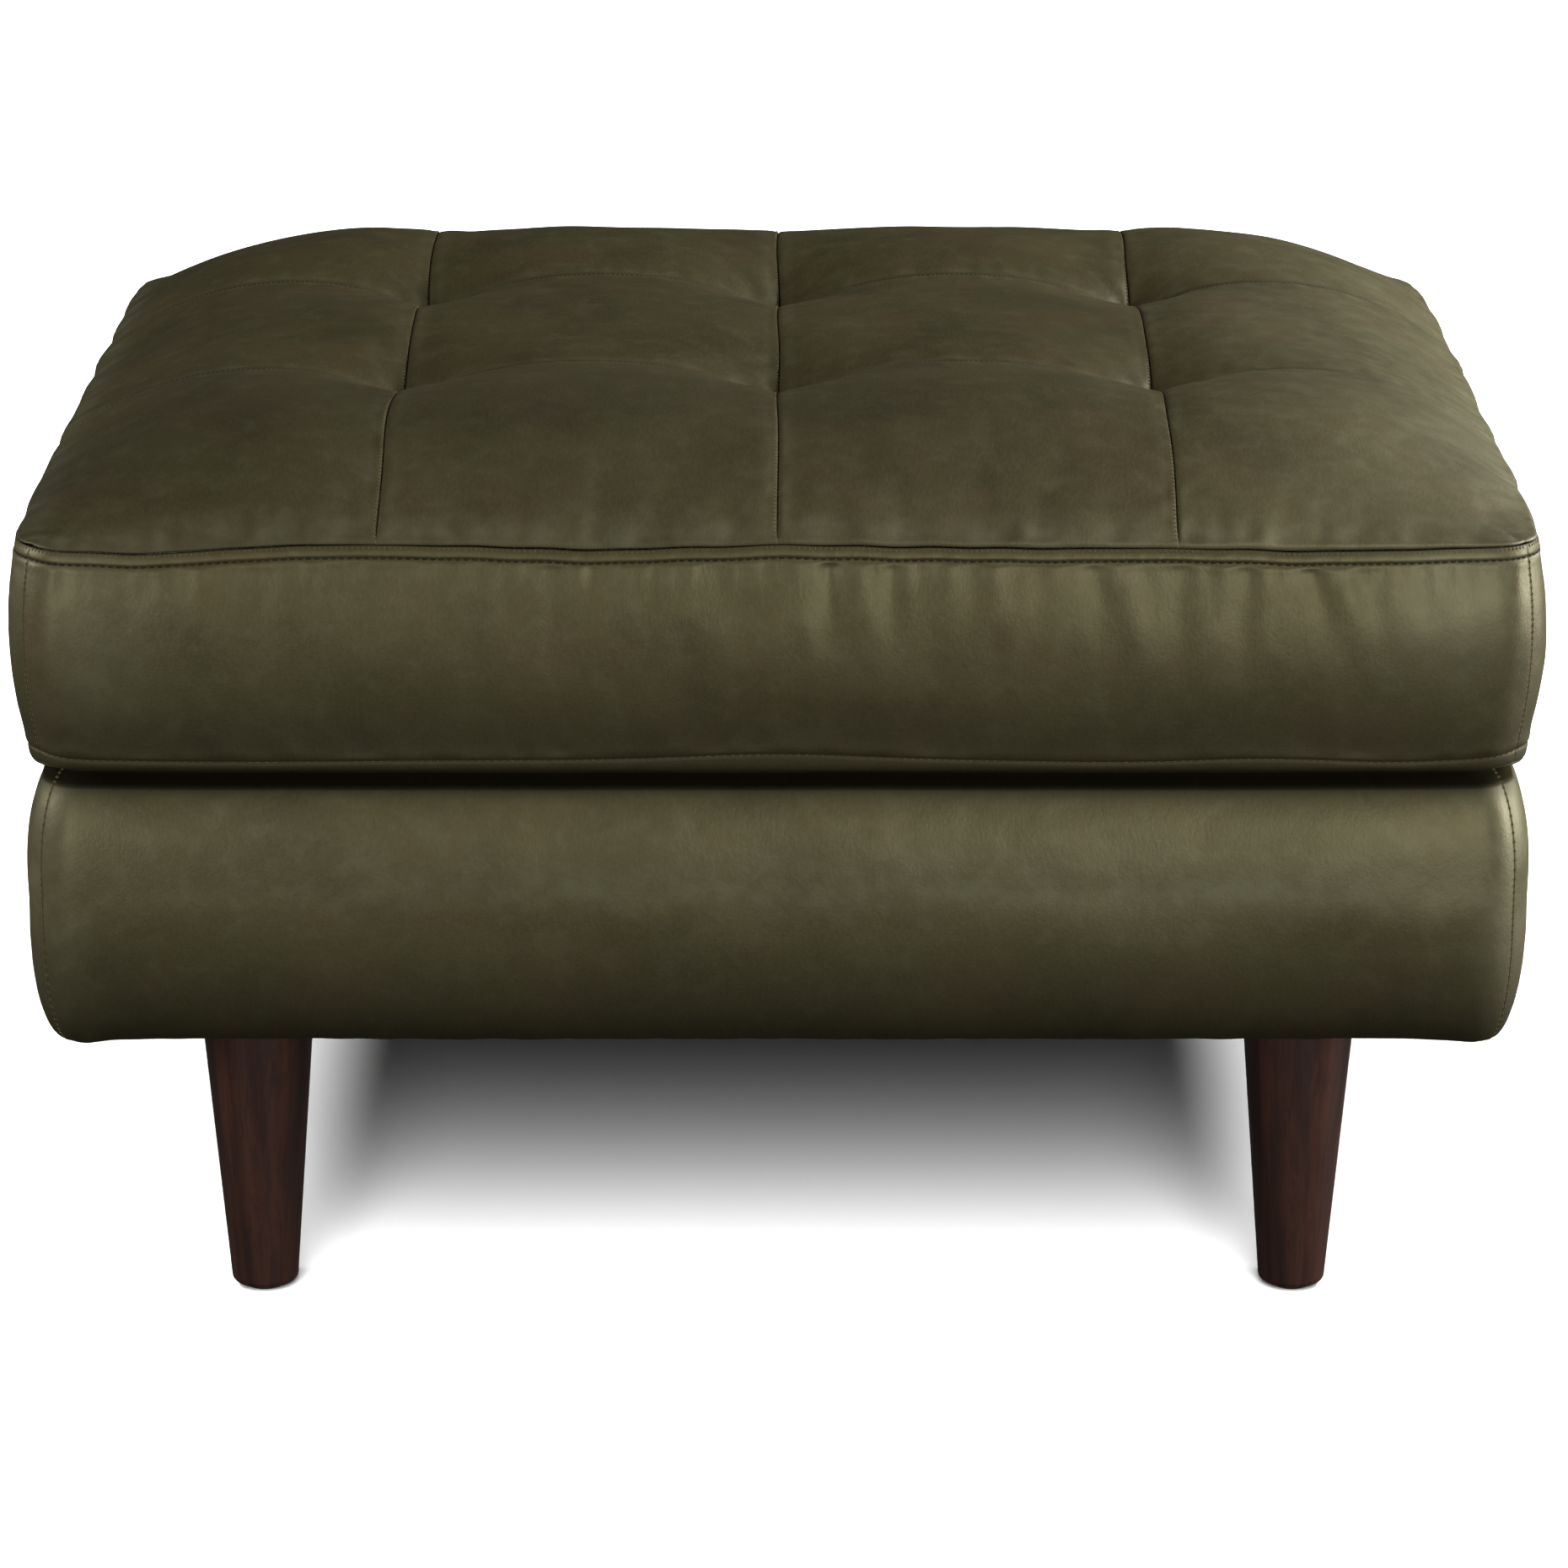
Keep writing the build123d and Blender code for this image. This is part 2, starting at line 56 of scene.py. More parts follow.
SEAT_WIDTH = 0.752
SEAT_DEPTH = 0.630
BASE_INSET = 0.004
LEATHER = 0.0018
LEATHER_CAD = 0.002
CUSHION_BOTTOM = 0.3031
CUSHION_CORNER = 0.028
SEAM_Z = 0.4157
BASE_BOTTOM = 0.159
BASE_TOP = 0.3008
TOP_WIDTH = 0.742
TOP_DEPTH = 0.620
TUFT_HEIGHT = 0.022
CORNER_TUCK = 0.6
CORNER_PULL = 0.0032
SEAM_TUCK_IN = 0.0006
MM = 0.001
STITCH_BESIDE = 0.0008
NEAR = np.array([-0.3, 0, 0.3]) * MM


# Numbers and noise


def waves(places: tuple, seed: int, longest: float, shortest: float, count: int) -> Grid:
    """Uneven field, about -1 to 1: a sum of sines of random length and phase, and of random direction over a surface.

    Args:
        places: One coordinate along a line or two over a surface, in metres.
        seed: Fixes the random draw.
        longest: Longest wave in metres.
        shortest: Shortest wave in metres.
        count: How many sines are added.

    Returns:
        The field at each place.
    """
    rng = np.random.default_rng(seed)
    lengths = np.exp(rng.uniform(math.log(shortest), math.log(longest), count))
    turns = rng.uniform(0, math.pi, count) if len(places) == 2 else np.zeros(count)
    phases = rng.uniform(0, 2 * math.pi, count)
    total = 0
    for length, turn, phase in zip(lengths, turns, phases):
        along = sum(place * share for place, share in zip(places, (math.cos(turn), math.sin(turn))))
        total = total + np.sin(2 * math.pi * along / length + phase)
    return total * math.sqrt(2 / count) * 0.7


def ripple(x: Grid, seed: int, longest: float, shortest: float) -> Grid:
    """Uneven wave along a line."""
    return waves((x,), seed, longest, shortest, 7)


def unevenness(x: Grid, y: Grid, seed: int, longest: float, shortest: float) -> Grid:
    """Uneven field over a surface."""
    return waves((x, y), seed, longest, shortest, 12)


def smooth_step(x: Grid, low: float, high: float) -> Grid:
    """Rises from 0 at low to 1 at high with level ends: 3t^2 - 2t^3."""
    t = np.clip((x - low) / (high - low), 0, 1)
    return t * t * (3 - 2 * t)


def bell(distance: Grid, width: float) -> Grid:
    """Bell curve: e to the minus square of the distance over the width."""
    return np.exp(-((distance / width) ** 2))


def bells(x: Grid, spots: tuple) -> Grid:
    """Sum of bell curves, each given as its place, width and height."""
    return sum(height * bell(x - at, width) for at, width, height in spots)


def gather(gap: Grid, peak: float, reach: float) -> Grid:
    """Profile of a gather across a seam: t e^(1 - t) e^(-gap / reach), where t is the gap over the peak's distance."""
    return gap / peak * np.exp(1 - gap / peak - gap / reach)


def tuck(distance: Grid, radius: float) -> Grid:
    """Quarter-round fall into a seam: 1 at the seam, 0 from the radius on, upright at the seam."""
    near = 1 - np.clip(distance / radius, 0, 1)
    return 1 - np.sqrt(np.maximum(1 - near * near, 0))


def arch(share: Grid, start: float, middle: float, end: float) -> Grid:
    """A sine arch over the straight line between two ends."""
    return start + (end - start) * share + (middle - (start + end) / 2) * np.sin(math.pi * share)


def even_lines(start: float, end: float, step: float) -> Grid:
    """Evenly spaced grid lines from start to end, about step apart."""
    return np.linspace(start, end, max(2, int(round((end - start) / step)) + 1))


def seam_lines(start: float, end: float, step: float) -> Grid:
    """Grid lines from start to end that crowd together at both ends, where the seams are.

    Args:
        start: First line.
        end: Last line.
        step: Spacing in metres between the crowds.

    Returns:
        The grid lines.
    """
    fine = np.array([0, 0.2, 0.5, 0.9, 1.4, 2.0, 2.7, 3.6, 4.8, 6.4]) * MM
    middle = even_lines(start + fine[-1], end - fine[-1], step)[1:-1]
    return np.concatenate([start + fine, middle, (end - fine)[::-1]])


def round_corners(x: Grid, y: Grid, half_x: float, half_y: float, corner: float) -> tuple:
    """Squeezes a rectangle's corners into quarter circles: each square ring round a corner's centre becomes round.

    Args:
        x: X in metres.
        y: Y in metres.
        half_x: Half the rectangle's size in X.
        half_y: Half its size in Y.
        corner: Radius of its corners.

    Returns:
        X and Y.
    """
    cx, cy = np.sign(x) * (half_x - corner), np.sign(y) * (half_y - corner)
    dx, dy = (x - cx) * np.sign(x), (y - cy) * np.sign(y)
    inside = (dx > 0) & (dy > 0)
    pull = np.maximum(dx, dy) / np.maximum(np.hypot(dx, dy), 1e-9)
    return np.where(inside, cx + (x - cx) * pull, x), np.where(inside, cy + (y - cy) * pull, y)


def resample(values: Grid, old: tuple, new: tuple) -> Grid:
    """Cubic (Catmull-Rom) resampling of a field on an even grid.

    Args:
        values: Values on the old grid, one row for each first coordinate.
        old: The old grid's two lines of coordinates, evenly spaced.
        new: The new grid's two lines of coordinates.

    Returns:
        Values on the new grid.
    """
    for axis, (lines, wanted) in enumerate(zip(old, new)):
        last = len(lines) - 1
        place = np.clip((wanted - lines[0]) / (lines[-1] - lines[0]) * last, 0, last - 1e-6)
        base = place.astype(int)
        t = place - base
        weights = (-0.5 * t + t * t - 0.5 * t**3, 1 - 2.5 * t * t + 1.5 * t**3,
                   0.5 * t + 2 * t * t - 1.5 * t**3, -0.5 * t * t + 0.5 * t**3)
        shape = (-1, 1) if axis == 0 else (1, -1)
        values = sum(weight.reshape(shape) * np.take(values, np.clip(base + k, 0, last), axis=axis)
                     for k, weight in enumerate(weights, -1))
    return values


def normals_of(points: Grid) -> Grid:
    """Unit normals of a grid of points: the cross product of its two directions."""
    normal = np.cross(np.gradient(points, axis=0), np.gradient(points, axis=1))
    return normal / np.maximum(np.linalg.norm(normal, axis=-1, keepdims=True), 1e-12)


def arc_lengths(points: Grid, axis: int) -> Grid:
    """Distance walked over the surface along one direction of the grid, from 0."""
    walked = np.cumsum(np.linalg.norm(np.diff(points, axis=axis), axis=-1), axis=axis)
    return np.concatenate([np.zeros_like(np.take(walked, [0], axis=axis)), walked], axis=axis)


# Meshes


def grid_index(rows: int, columns: int, first: int = 0) -> Grid:
    """Point numbers of a grid, row after row."""
    return first + np.arange(rows * columns).reshape(rows, columns)


def grid_faces(index: Grid) -> list:
    """Quads of a grid of point numbers, facing the cross product of its two directions."""
    return np.stack([index[:-1, :-1], index[1:, :-1], index[1:, 1:], index[:-1, 1:]], -1).reshape(-1, 4).tolist()


def slab(outer: Grid, inner: Grid) -> tuple:
    """A closed solid between two grids of the same shape: both faces and the four walls round their rims.

    Args:
        outer: Grid of points on the side that the grid's normal faces.
        inner: Grid of points on the other side.

    Returns:
        Points and faces.
    """
    index = grid_index(*outer.shape[:2])
    rim = np.concatenate([index[:, 0], index[-1, 1:], index[::-1, -1][1:], index[0, ::-1][1:]])
    second = index.size
    walls = np.stack([rim[1:], rim[:-1], rim[:-1] + second, rim[1:] + second], -1).tolist()
    back = [face[::-1] for face in grid_faces(index + second)]
    return np.concatenate([outer.reshape(-1, 3), inner.reshape(-1, 3)]), grid_faces(index) + back + walls


def joined(parts: list) -> tuple:
    """Joins pairs of points and faces into one pair, its faces renumbered to match.

    Args:
        parts: Pairs of points and faces.

    Returns:
        All the points, and the faces.
    """
    points, faces, first = [], [], 0
    for part_points, part_faces in parts:
        points.append(np.asarray(part_points).reshape(-1, 3))
        faces += [[number + first for number in face] for face in part_faces]
        first += len(points[-1])
    return np.concatenate(points), faces


def mesh_object(name: str, points: Grid, faces: list, material: bpy.types.Material) -> bpy.types.Object:
    """Makes a smooth-shaded mesh object at the origin.

    Args:
        name: The piece's name.
        points: Corner points in metres.
        faces: Lists of point numbers.
        material: The piece's finish.

    Returns:
        The new object.
    """
    mesh = bpy.data.meshes.new(name)
    mesh.from_pydata(np.asarray(points).reshape(-1, 3).tolist(), [], faces)
    mesh.shade_smooth()
    mesh.update()
    mesh.materials.append(material)
    obj = bpy.data.objects.new(name, mesh)
    bpy.context.scene.collection.objects.link(obj)
    return obj


def thicken(obj: bpy.types.Object, thickness: float) -> None:
    """Gives a sheet its thickness, on its inner side."""
    wall = obj.modifiers.new("thickness", "SOLIDIFY")
    wall.thickness, wall.offset = thickness, -1


def settle(obj: bpy.types.Object, body: str, node: str) -> None:
    """Lets a piece ride on a body, and lets it stand for its CAD node.

    Args:
        obj: The piece.
        body: The CAD body.
        node: The CAD node that it stands for.
    """
    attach(obj, body)
    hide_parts(node)
    LOG.info("%s on %s: %d points", obj.name, body, len(obj.data.vertices))


# Finishes


class Desk:
    """Puts nodes into one material and links them."""

    def __init__(self, name: str) -> None:
        """Starts a new material with its output and a principled shader."""
        self.material = bpy.data.materials.new(name)
        self.material.use_nodes = True
        self.tree = self.material.node_tree
        self.shader = self.tree.nodes["Principled BSDF"]

    def add(self, kind: str, inputs: dict, **settings: object) -> bpy.types.Node:
        """Adds one node.

        Args:
            kind: The node's type, without the ShaderNode at its front.
            inputs: Values or sockets for its inputs, by name or number.
            **settings: Its other properties.

        Returns:
            The new node.
        """
        node = self.tree.nodes.new("ShaderNode" + kind)
        for name, value in settings.items():
            setattr(node, name, value)
        for name, value in inputs.items():
            self.feed(node.inputs[name], value)
        return node

    def feed(self, socket: Socket, value: object) -> None:
        """Links a socket, or sets a plain value; a colour is given as red, green and blue.

        Args:
            socket: The input.
            value: Another socket, a number or a colour.
        """
        if isinstance(value, Socket):
            self.tree.links.new(value, socket)
        else:
            socket.default_value = (*value, 1) if socket.type == "RGBA" else value

    def object_place(self) -> Socket:
        """Object coordinates."""
        return self.add("TexCoord", {}).outputs["Object"]

    def attribute(self, name: str) -> Socket:
        """A number that each point carries by name."""
        return self.add("Attribute", {}, attribute_name=name).outputs["Fac"]

    def noise(self, vector: Socket, scale: float, detail: float, rough: float = 0.5, bend: float = 0.0) -> Socket:
        """Noise texture's factor at a scale per metre."""
        inputs = {"Vector": vector, "Scale": scale, "Detail": detail, "Roughness": rough, "Distortion": bend}
        return self.add("TexNoise", inputs).outputs["Fac"]

    def remap(self, value: Socket, low: float, high: float, to_low: float, to_high: float) -> Socket:
        """A value's range mapped smoothly to another range."""
        inputs = {"Value": value, "From Min": low, "From Max": high, "To Min": to_low, "To Max": to_high}
        return self.add("MapRange", inputs, interpolation_type="SMOOTHSTEP").outputs["Result"]

    def mix(self, factor: object, first: object, second: object) -> Socket:
        """Two colours mixed by a factor."""
        return self.add("Mix", {0: factor, 6: first, 7: second}, data_type="RGBA", blend_type="MIX").outputs[2]

    def maths(self, operation: str, first: object, second: object) -> Socket:
        """Two numbers put together."""
        return self.add("Math", {0: first, 1: second}, operation=operation).outputs[0]

    def plus(self, first: object, second: Socket, share: float) -> Socket:
        """A number plus a share of another."""
        return self.maths("ADD", first, self.maths("MULTIPLY", second, share))

    def tint(
            self, color: object, other: object, by: Socket, low: float, high: float,
            first: float, last: float) -> Socket:
        """A colour mixed with another, more or less as a value goes from low to high."""
        return self.mix(self.remap(by, low, high, first, last), color, other)

    def bump(self, height: Socket, strength: float, distance: float, under: object = None) -> Socket:
        """A bump over the shader's normal, on top of another one where given.

        Args:
            height: The bump's height.
            strength: Its strength.
            distance: Its height in metres.
            under: Normal under it.

        Returns:
            The new normal.
        """
        normal = {} if under is None else {"Normal": under}
        inputs = {"Height": height, "Strength": strength, "Distance": distance} | normal
        return self.add("Bump", inputs).outputs["Normal"]

    def finish(
            self, color: object, roughness: object, normal: object = None,
            **constants: object) -> bpy.types.Material:
        """Feeds the shader and gives back the material.

        Args:
            color: Base colour.
            roughness: Roughness.
            normal: Normal, where it has bumps.
            **constants: The shader's other inputs.

        Returns:
            The material.
        """
        normals = {} if normal is None else {"Normal": normal}
        inputs = {"Base_Color": color, "Roughness": roughness} | normals | constants
        for name, value in inputs.items():
            self.feed(self.shader.inputs[name.replace("_", " ")], value)
        return self.material


@dataclass(frozen=True)
class PullUpLeather:
    """Waxed olive leather: soft brown and dark clouds, a fine nap that runs down the hide, and a faint grain."""

    name: str = "olive_leather"
    olive: tuple = (0.0405, 0.0352, 0.0118)
    brown: tuple = (0.0500, 0.0355, 0.0135)
    pale: tuple = (0.090, 0.084, 0.048)
    dark: tuple = (0.0170, 0.0152, 0.0070)
    # Near-black for seams and for painted shade.
    seam_and_shade_dark: tuple = (0.0060, 0.0052, 0.0032)
    gloss: tuple = (1.0, 0.93, 0.54)
    roughness: float = 0.45

    def material(self) -> bpy.types.Material:
        """Builds the material: the mottle follows the hide's UV; by attribute it darkens at seams and in painted shade,
        and turns pale at worn places and painted highlights.
        """
        desk = Desk(self.name)
        hide = desk.add("UVMap", {}, uv_map="hide").outputs["UV"]
        combed = desk.add("Mapping", {"Vector": hide, "Scale": (1.0, 0.38, 1.0)}).outputs["Vector"]
        patches, cloud = desk.noise(hide, 13.0, 4.0, 0.55, 0.4), desk.noise(hide, 17.0, 4.0, 0.55, 0.2)
        fleck, nap = desk.noise(hide, 70.0, 5.0, 0.60, 0.3), desk.noise(combed, 620.0, 4.0, 0.65, 0.4)
        # The seam attribute holds painted shade besides the dark seams; the other attribute holds painted highlights
        # besides worn places.
        wear, seam = desk.attribute("wear"), desk.attribute("seam")
        # Painted highlights and worn places, broken up by the flecks, then mixed towards pale.
        lit_and_rubbed = desk.maths("MULTIPLY", wear, desk.remap(fleck, 0.3, 0.7, 0.50, 1.0))
        color = desk.tint(self.olive, self.brown, patches, 0.40, 0.62, 0.0, 1.0)
        color = desk.tint(color, self.dark, cloud, 0.28, 0.55, 0.42, 0.0)
        color = desk.tint(color, self.pale, fleck, 0.45, 0.78, 0.0, 0.35)
        color = desk.tint(color, self.pale, nap, 0.35, 0.75, 0.0, 0.22)
        color = desk.mix(lit_and_rubbed, color, self.pale)
        # Painted shade and dark seams: mixed towards near-black.
        color = desk.mix(desk.maths("MULTIPLY", seam, 0.88), color, self.seam_and_shade_dark)
        pebble = desk.add("TexVoronoi", {"Vector": hide, "Scale": 700.0, "Randomness": 1.0}, feature="SMOOTH_F1")
        normal = desk.bump(desk.noise(hide, 60.0, 6.0, 0.7, 1.2), 0.08, 0.0012)
        normal = desk.bump(nap, 0.24, 0.0004, normal)
        normal = desk.bump(pebble.outputs["Distance"], 0.16, 0.0003, normal)
        # Where the seam attribute is highest, on seam lines and in the painted shadow of the base's gap, the leather
        # turns a near-black metal, so its reflections are painted dark too.
        seam_and_shade_metal = desk.remap(seam, 0.70, 1.0, 0.0, 0.9)
        rough = desk.plus(self.roughness - 0.08, cloud, 0.16)
        rough = desk.plus(rough, seam, 0.25)
        rough = desk.plus(rough, seam_and_shade_metal, 0.30)
        return desk.finish(color, rough, normal, Metallic=seam_and_shade_metal, Specular_IOR_Level=0.5, Specular_Tint=self.gloss)


@dataclass(frozen=True)
class Cloth:
    """Matt cloth: two threads crossing at right angles, or fibres with no direction."""

    name: str
    light: tuple
    dark: tuple
    pitch: float = 0.0008
    woven: bool = True
    roughness: float = 0.85

    def material(self) -> bpy.types.Material:
        """Builds the material on object coordinates."""
        desk = Desk(self.name)
        place = desk.object_place()
        cloud = desk.noise(place, 20.0, 3.0)
        if self.woven:
            inputs = {"Vector": place, "Scale": 0.5 / self.pitch / math.pi}
            threads = [desk.add("TexWave", inputs, bands_direction=axis).outputs["Fac"] for axis in ("X", "Y")]
            height = desk.maths("MAXIMUM", *threads)
        else:
            height = desk.noise(place, 1.0 / self.pitch, 6.0, 0.7, 2.0)
        color = desk.tint(self.dark, self.light, height, 0.1, 0.9, 0.0, 1.0)
        color = desk.tint(color, self.dark, cloud, 0.3, 0.7, 0.0, 0.25)
        return desk.finish(color, self.roughness, desk.bump(height, 0.5, self.pitch * 0.4))


@dataclass(frozen=True)
class Wood:
    """Wood with its grain along one axis of the piece."""

    name: str
    light: tuple
    dark: tuple
    centre: tuple = (0.0, 0.0, 0.0)
    grain_axis: int = 2
    roughness: float = 0.38
    rings: float = 260.0

    def material(self) -> bpy.types.Material:
        """Builds the material on object coordinates, squeezed along the grain."""
        desk = Desk(self.name)
        scale = [1.0, 1.0, 1.0]
        scale[self.grain_axis] = 0.06
        shift = [-c * s for c, s in zip(self.centre, scale)]
        inputs = {"Vector": desk.object_place(), "Location": shift, "Scale": scale}
        squeezed = desk.add("Mapping", inputs).outputs["Vector"]
        streak = desk.noise(squeezed, self.rings, 6.0, 0.65, 0.8)
        broad = desk.noise(squeezed, self.rings * 0.22, 3.0, 0.5, 1.2)
        pores = desk.noise(squeezed, self.rings * 5.0, 3.0, 0.6)
        color = desk.tint(self.dark, self.light, broad, 0.3, 0.7, 0.0, 1.0)
        color = desk.tint(color, self.dark, streak, 0.40, 0.68, 0.0, 0.75)
        color = desk.tint(color, self.dark, pores, 0.55, 0.75, 0.0, 0.5)
        rough = desk.plus(self.roughness - 0.05, streak, 0.14)
        return desk.finish(color, rough, desk.bump(pores, 0.12, 0.0003))


@dataclass(frozen=True)
class Plastic:
    """Moulded plastic, plated metal or thread with a fine texture."""

    name: str
    color: tuple
    shade: tuple
    metallic: float = 0.0
    roughness: float = 0.5
    specular: float = 0.5

    def material(self) -> bpy.types.Material:
        """Builds the material on object coordinates."""
        desk = Desk(self.name)
        place = desk.object_place()
        fine, broad = desk.noise(place, 900.0, 4.0, 0.6), desk.noise(place, 60.0, 3.0)
        color = desk.tint(self.color, self.shade, broad, 0.3, 0.7, 0.0, 1.0)
        rough = desk.plus(self.roughness - 0.06, fine, 0.12)
        constants = {"Metallic": self.metallic, "Specular_IOR_Level": self.specular}
        return desk.finish(color, rough, desk.bump(fine, 0.15, 0.0001), **constants)


@dataclass(frozen=True)
class Foam:
    """Open-cell foam or fibre wadding."""

    name: str
    light: tuple
    dark: tuple
    cell: float = 0.0012

    def material(self) -> bpy.types.Material:
        """Builds the material on object coordinates."""
        desk = Desk(self.name)
        place = desk.object_place()
        cells = desk.add("TexVoronoi", {"Vector": place, "Scale": 1 / self.cell}).outputs["Distance"]
        color = desk.tint(self.dark, self.light, cells, 0.1, 0.6, 0.0, 1.0)
        color = desk.tint(color, self.dark, desk.noise(place, 30.0, 4.0), 0.3, 0.7, 0.0, 0.3)
        return desk.finish(color, 0.9, desk.bump(cells, 0.5, self.cell * 0.5))


class Finishes:
    """Every finish of the ottoman, made once and kept by the record's slot names."""

    kinds = (
        PullUpLeather(),
        Foam("foam", (0.80, 0.76, 0.60), (0.62, 0.57, 0.42)),
        Foam("fibre_wadding", (0.86, 0.86, 0.83), (0.66, 0.66, 0.62), 0.0025),
        Wood("frame_hardwood", (0.56, 0.40, 0.24), (0.40, 0.27, 0.15), grain_axis=0, roughness=0.6, rings=120.0),
        Plastic("zinc_steel", (0.62, 0.62, 0.60), (0.52, 0.53, 0.54), 1.0, 0.35),
        Plastic("glide_plastic", (0.020, 0.018, 0.017), (0.03, 0.027, 0.025)),
        Plastic("washer_plastic", (0.78, 0.78, 0.74), (0.7, 0.7, 0.66)),
        Cloth("elastic_webbing", (0.07, 0.065, 0.06), (0.02, 0.018, 0.016)),
        Cloth("deck_cloth", (0.042, 0.040, 0.028), (0.016, 0.016, 0.011)),
        Cloth("dust_cloth", (0.02, 0.02, 0.02), (0.008, 0.008, 0.008), woven=False),
        Cloth("hook_and_loop", (0.02, 0.02, 0.02), (0.006, 0.006, 0.006), 0.0006, False),
        Cloth("tuft_twine", (0.52, 0.45, 0.32), (0.32, 0.26, 0.17), 0.0005),
        Plastic("thread", (0.085, 0.064, 0.026), (0.125, 0.098, 0.045), 0.0, 0.7, 0.1),
        Plastic("dark_thread", (0.016, 0.0125, 0.0060), (0.028, 0.022, 0.011), 0.0, 0.7, 0.1),
    )

    def __init__(self) -> None:
        """Makes the materials."""
        self.slots = {kind.name: kind.material() for kind in self.kinds}


# Sides of the box


class Side(Enum):
    """The four sides, with the direction along each and the direction out of it."""

    FRONT = ((1, 0), (0, -1))
    RIGHT = ((0, 1), (1, 0))
    REAR = ((-1, 0), (0, 1))
    LEFT = ((0, -1), (-1, 0))

    @property
    def label(self) -> str:
        """The side's name in piece names."""
        return self.name.lower()

    @property
    def is_long(self) -> bool:
        """Whether this is the front or the rear."""
        return self in (Side.FRONT, Side.REAR)

    @property
    def number(self) -> int:
        """The side's place in the order front, right, rear, left."""
        return list(Side).index(self)


@dataclass(frozen=True)
class RoundedBox:
    """An upright wall on a rounded rectangle, cut into four panels at the mitres of its corners."""

    width: float
    depth: float
    corner: float
    least_corner: float = 0.0015

    def half_length(self, side: Side) -> float:
        """Length from the middle of a side's panel to its corner seam."""
        return self.half(side, True) - self.corner + self.corner * math.pi / 4

    def half(self, side: Side, along: bool) -> float:
        """Half the box's size along a side, or out of it."""
        return (self.width if side.is_long == along else self.depth) / 2

    def walks(self, side: Side, step: float) -> Grid:
        """Evenly spaced grid lines along a side's panel."""
        return even_lines(-self.half_length(side), self.half_length(side), step)

    def place(self, side: Side, walk: Grid, inset: Grid) -> tuple:
        """Plan position on one side's panel: a straight run, then an eighth of a turn at each end.

        Args:
            side: Which side.
            walk: Distance from the panel's middle along the uninset outline, in metres.
            inset: How far the wall is drawn in there, to which its corners add the 8th power of the share walked.

        Returns:
            X, Y, and the outward normal's X and Y.
        """
        inset = inset + CORNER_PULL * np.abs(walk / self.half_length(side)) ** 8
        corner = np.maximum(self.corner - CORNER_TUCK * inset, self.least_corner)
        run = self.half(side, True) - self.corner
        straight = self.half(side, True) - inset - corner
        size, sign = np.abs(walk), np.where(walk < 0, -1.0, 1.0)
        turn = np.clip((size - run) / (self.half_length(side) - run), 0, 1) * math.pi / 4
        along = sign * (straight * np.minimum(size / run, 1) + corner * np.sin(turn))
        out = self.half(side, False) - inset - corner + corner * np.cos(turn)
        (ax, ay), (ox, oy) = side.value
        sine, cosine = sign * np.sin(turn), np.cos(turn)
        return along * ax + out * ox, along * ay + out * oy, sine * ax + cosine * ox, sine * ay + cosine * oy


# Seams that two covers share


def edge_wave(x: Grid, y: Grid) -> Grid:
    """How far the cushion's edge seam wanders up or down: sags placed along the front, a slow wave elsewhere.

    Args:
        x: X in metres.
        y: Y in metres.

    Returns:
        The height to add in metres.
    """
    front = smooth_step(-y, 0.24, 0.30)
    sag = bells(x, ((-0.318, 0.050, -3.4), (-0.200, 0.055, 1.6), (-0.085, 0.040, -1.3), (0.005, 0.045, 1.4),
                    (0.120, 0.060, -0.3), (0.275, 0.060, -1.9)))
    rear_corner = smooth_step(y, 0.20, 0.31) * smooth_step(np.abs(x), 0.27, 0.37)
    wander = (1 - front) * 1.1 * unevenness(x, y, 11, 0.30, 0.12) + 0.25 * unevenness(x, y, 12, 0.06, 0.03)
    return MM * (front * sag + wander - 4.5 * rear_corner)


def edge_gather(x: Grid, y: Grid) -> Grid:
    """How far the edge seam is drawn in at a place: small scallops on the sides and the rear, in metres."""
    return 0.0007 * (1 - smooth_step(-y, 0.27, 0.31)) * (0.6 + unevenness(x, y, 14, 0.085, 0.045))


def lower_wave(x: Grid, y: Grid) -> Grid:
    """How far the boxing's lower seam wanders up or down, in metres.

    Args:
        x: X in metres.
        y: Y in metres.

    Returns:
        The height to add in metres.
    """
    front = smooth_step(-y, 0.24, 0.30)
    sag = bells(x, ((-0.27, 0.09, -1.0), (0.0, 0.06, 3.0), (0.16, 0.05, -1.0), (0.23, 0.03, 0.8), (0.30, 0.03, -1.2),
                    (-0.37, 0.02, 3.0), (0.37, 0.02, 3.2)))
    return MM * (front * sag + (1 - front) * 1.5 * unevenness(x, y, 21, 0.25, 0.10))


# Covers


@dataclass
class Patch:
    """A smooth piece of cover on an even grid, to be relaxed as cloth; the relief is kept in part."""

    lines: tuple
    points: Grid
    share: float
    relief: Grid = field(default=None)


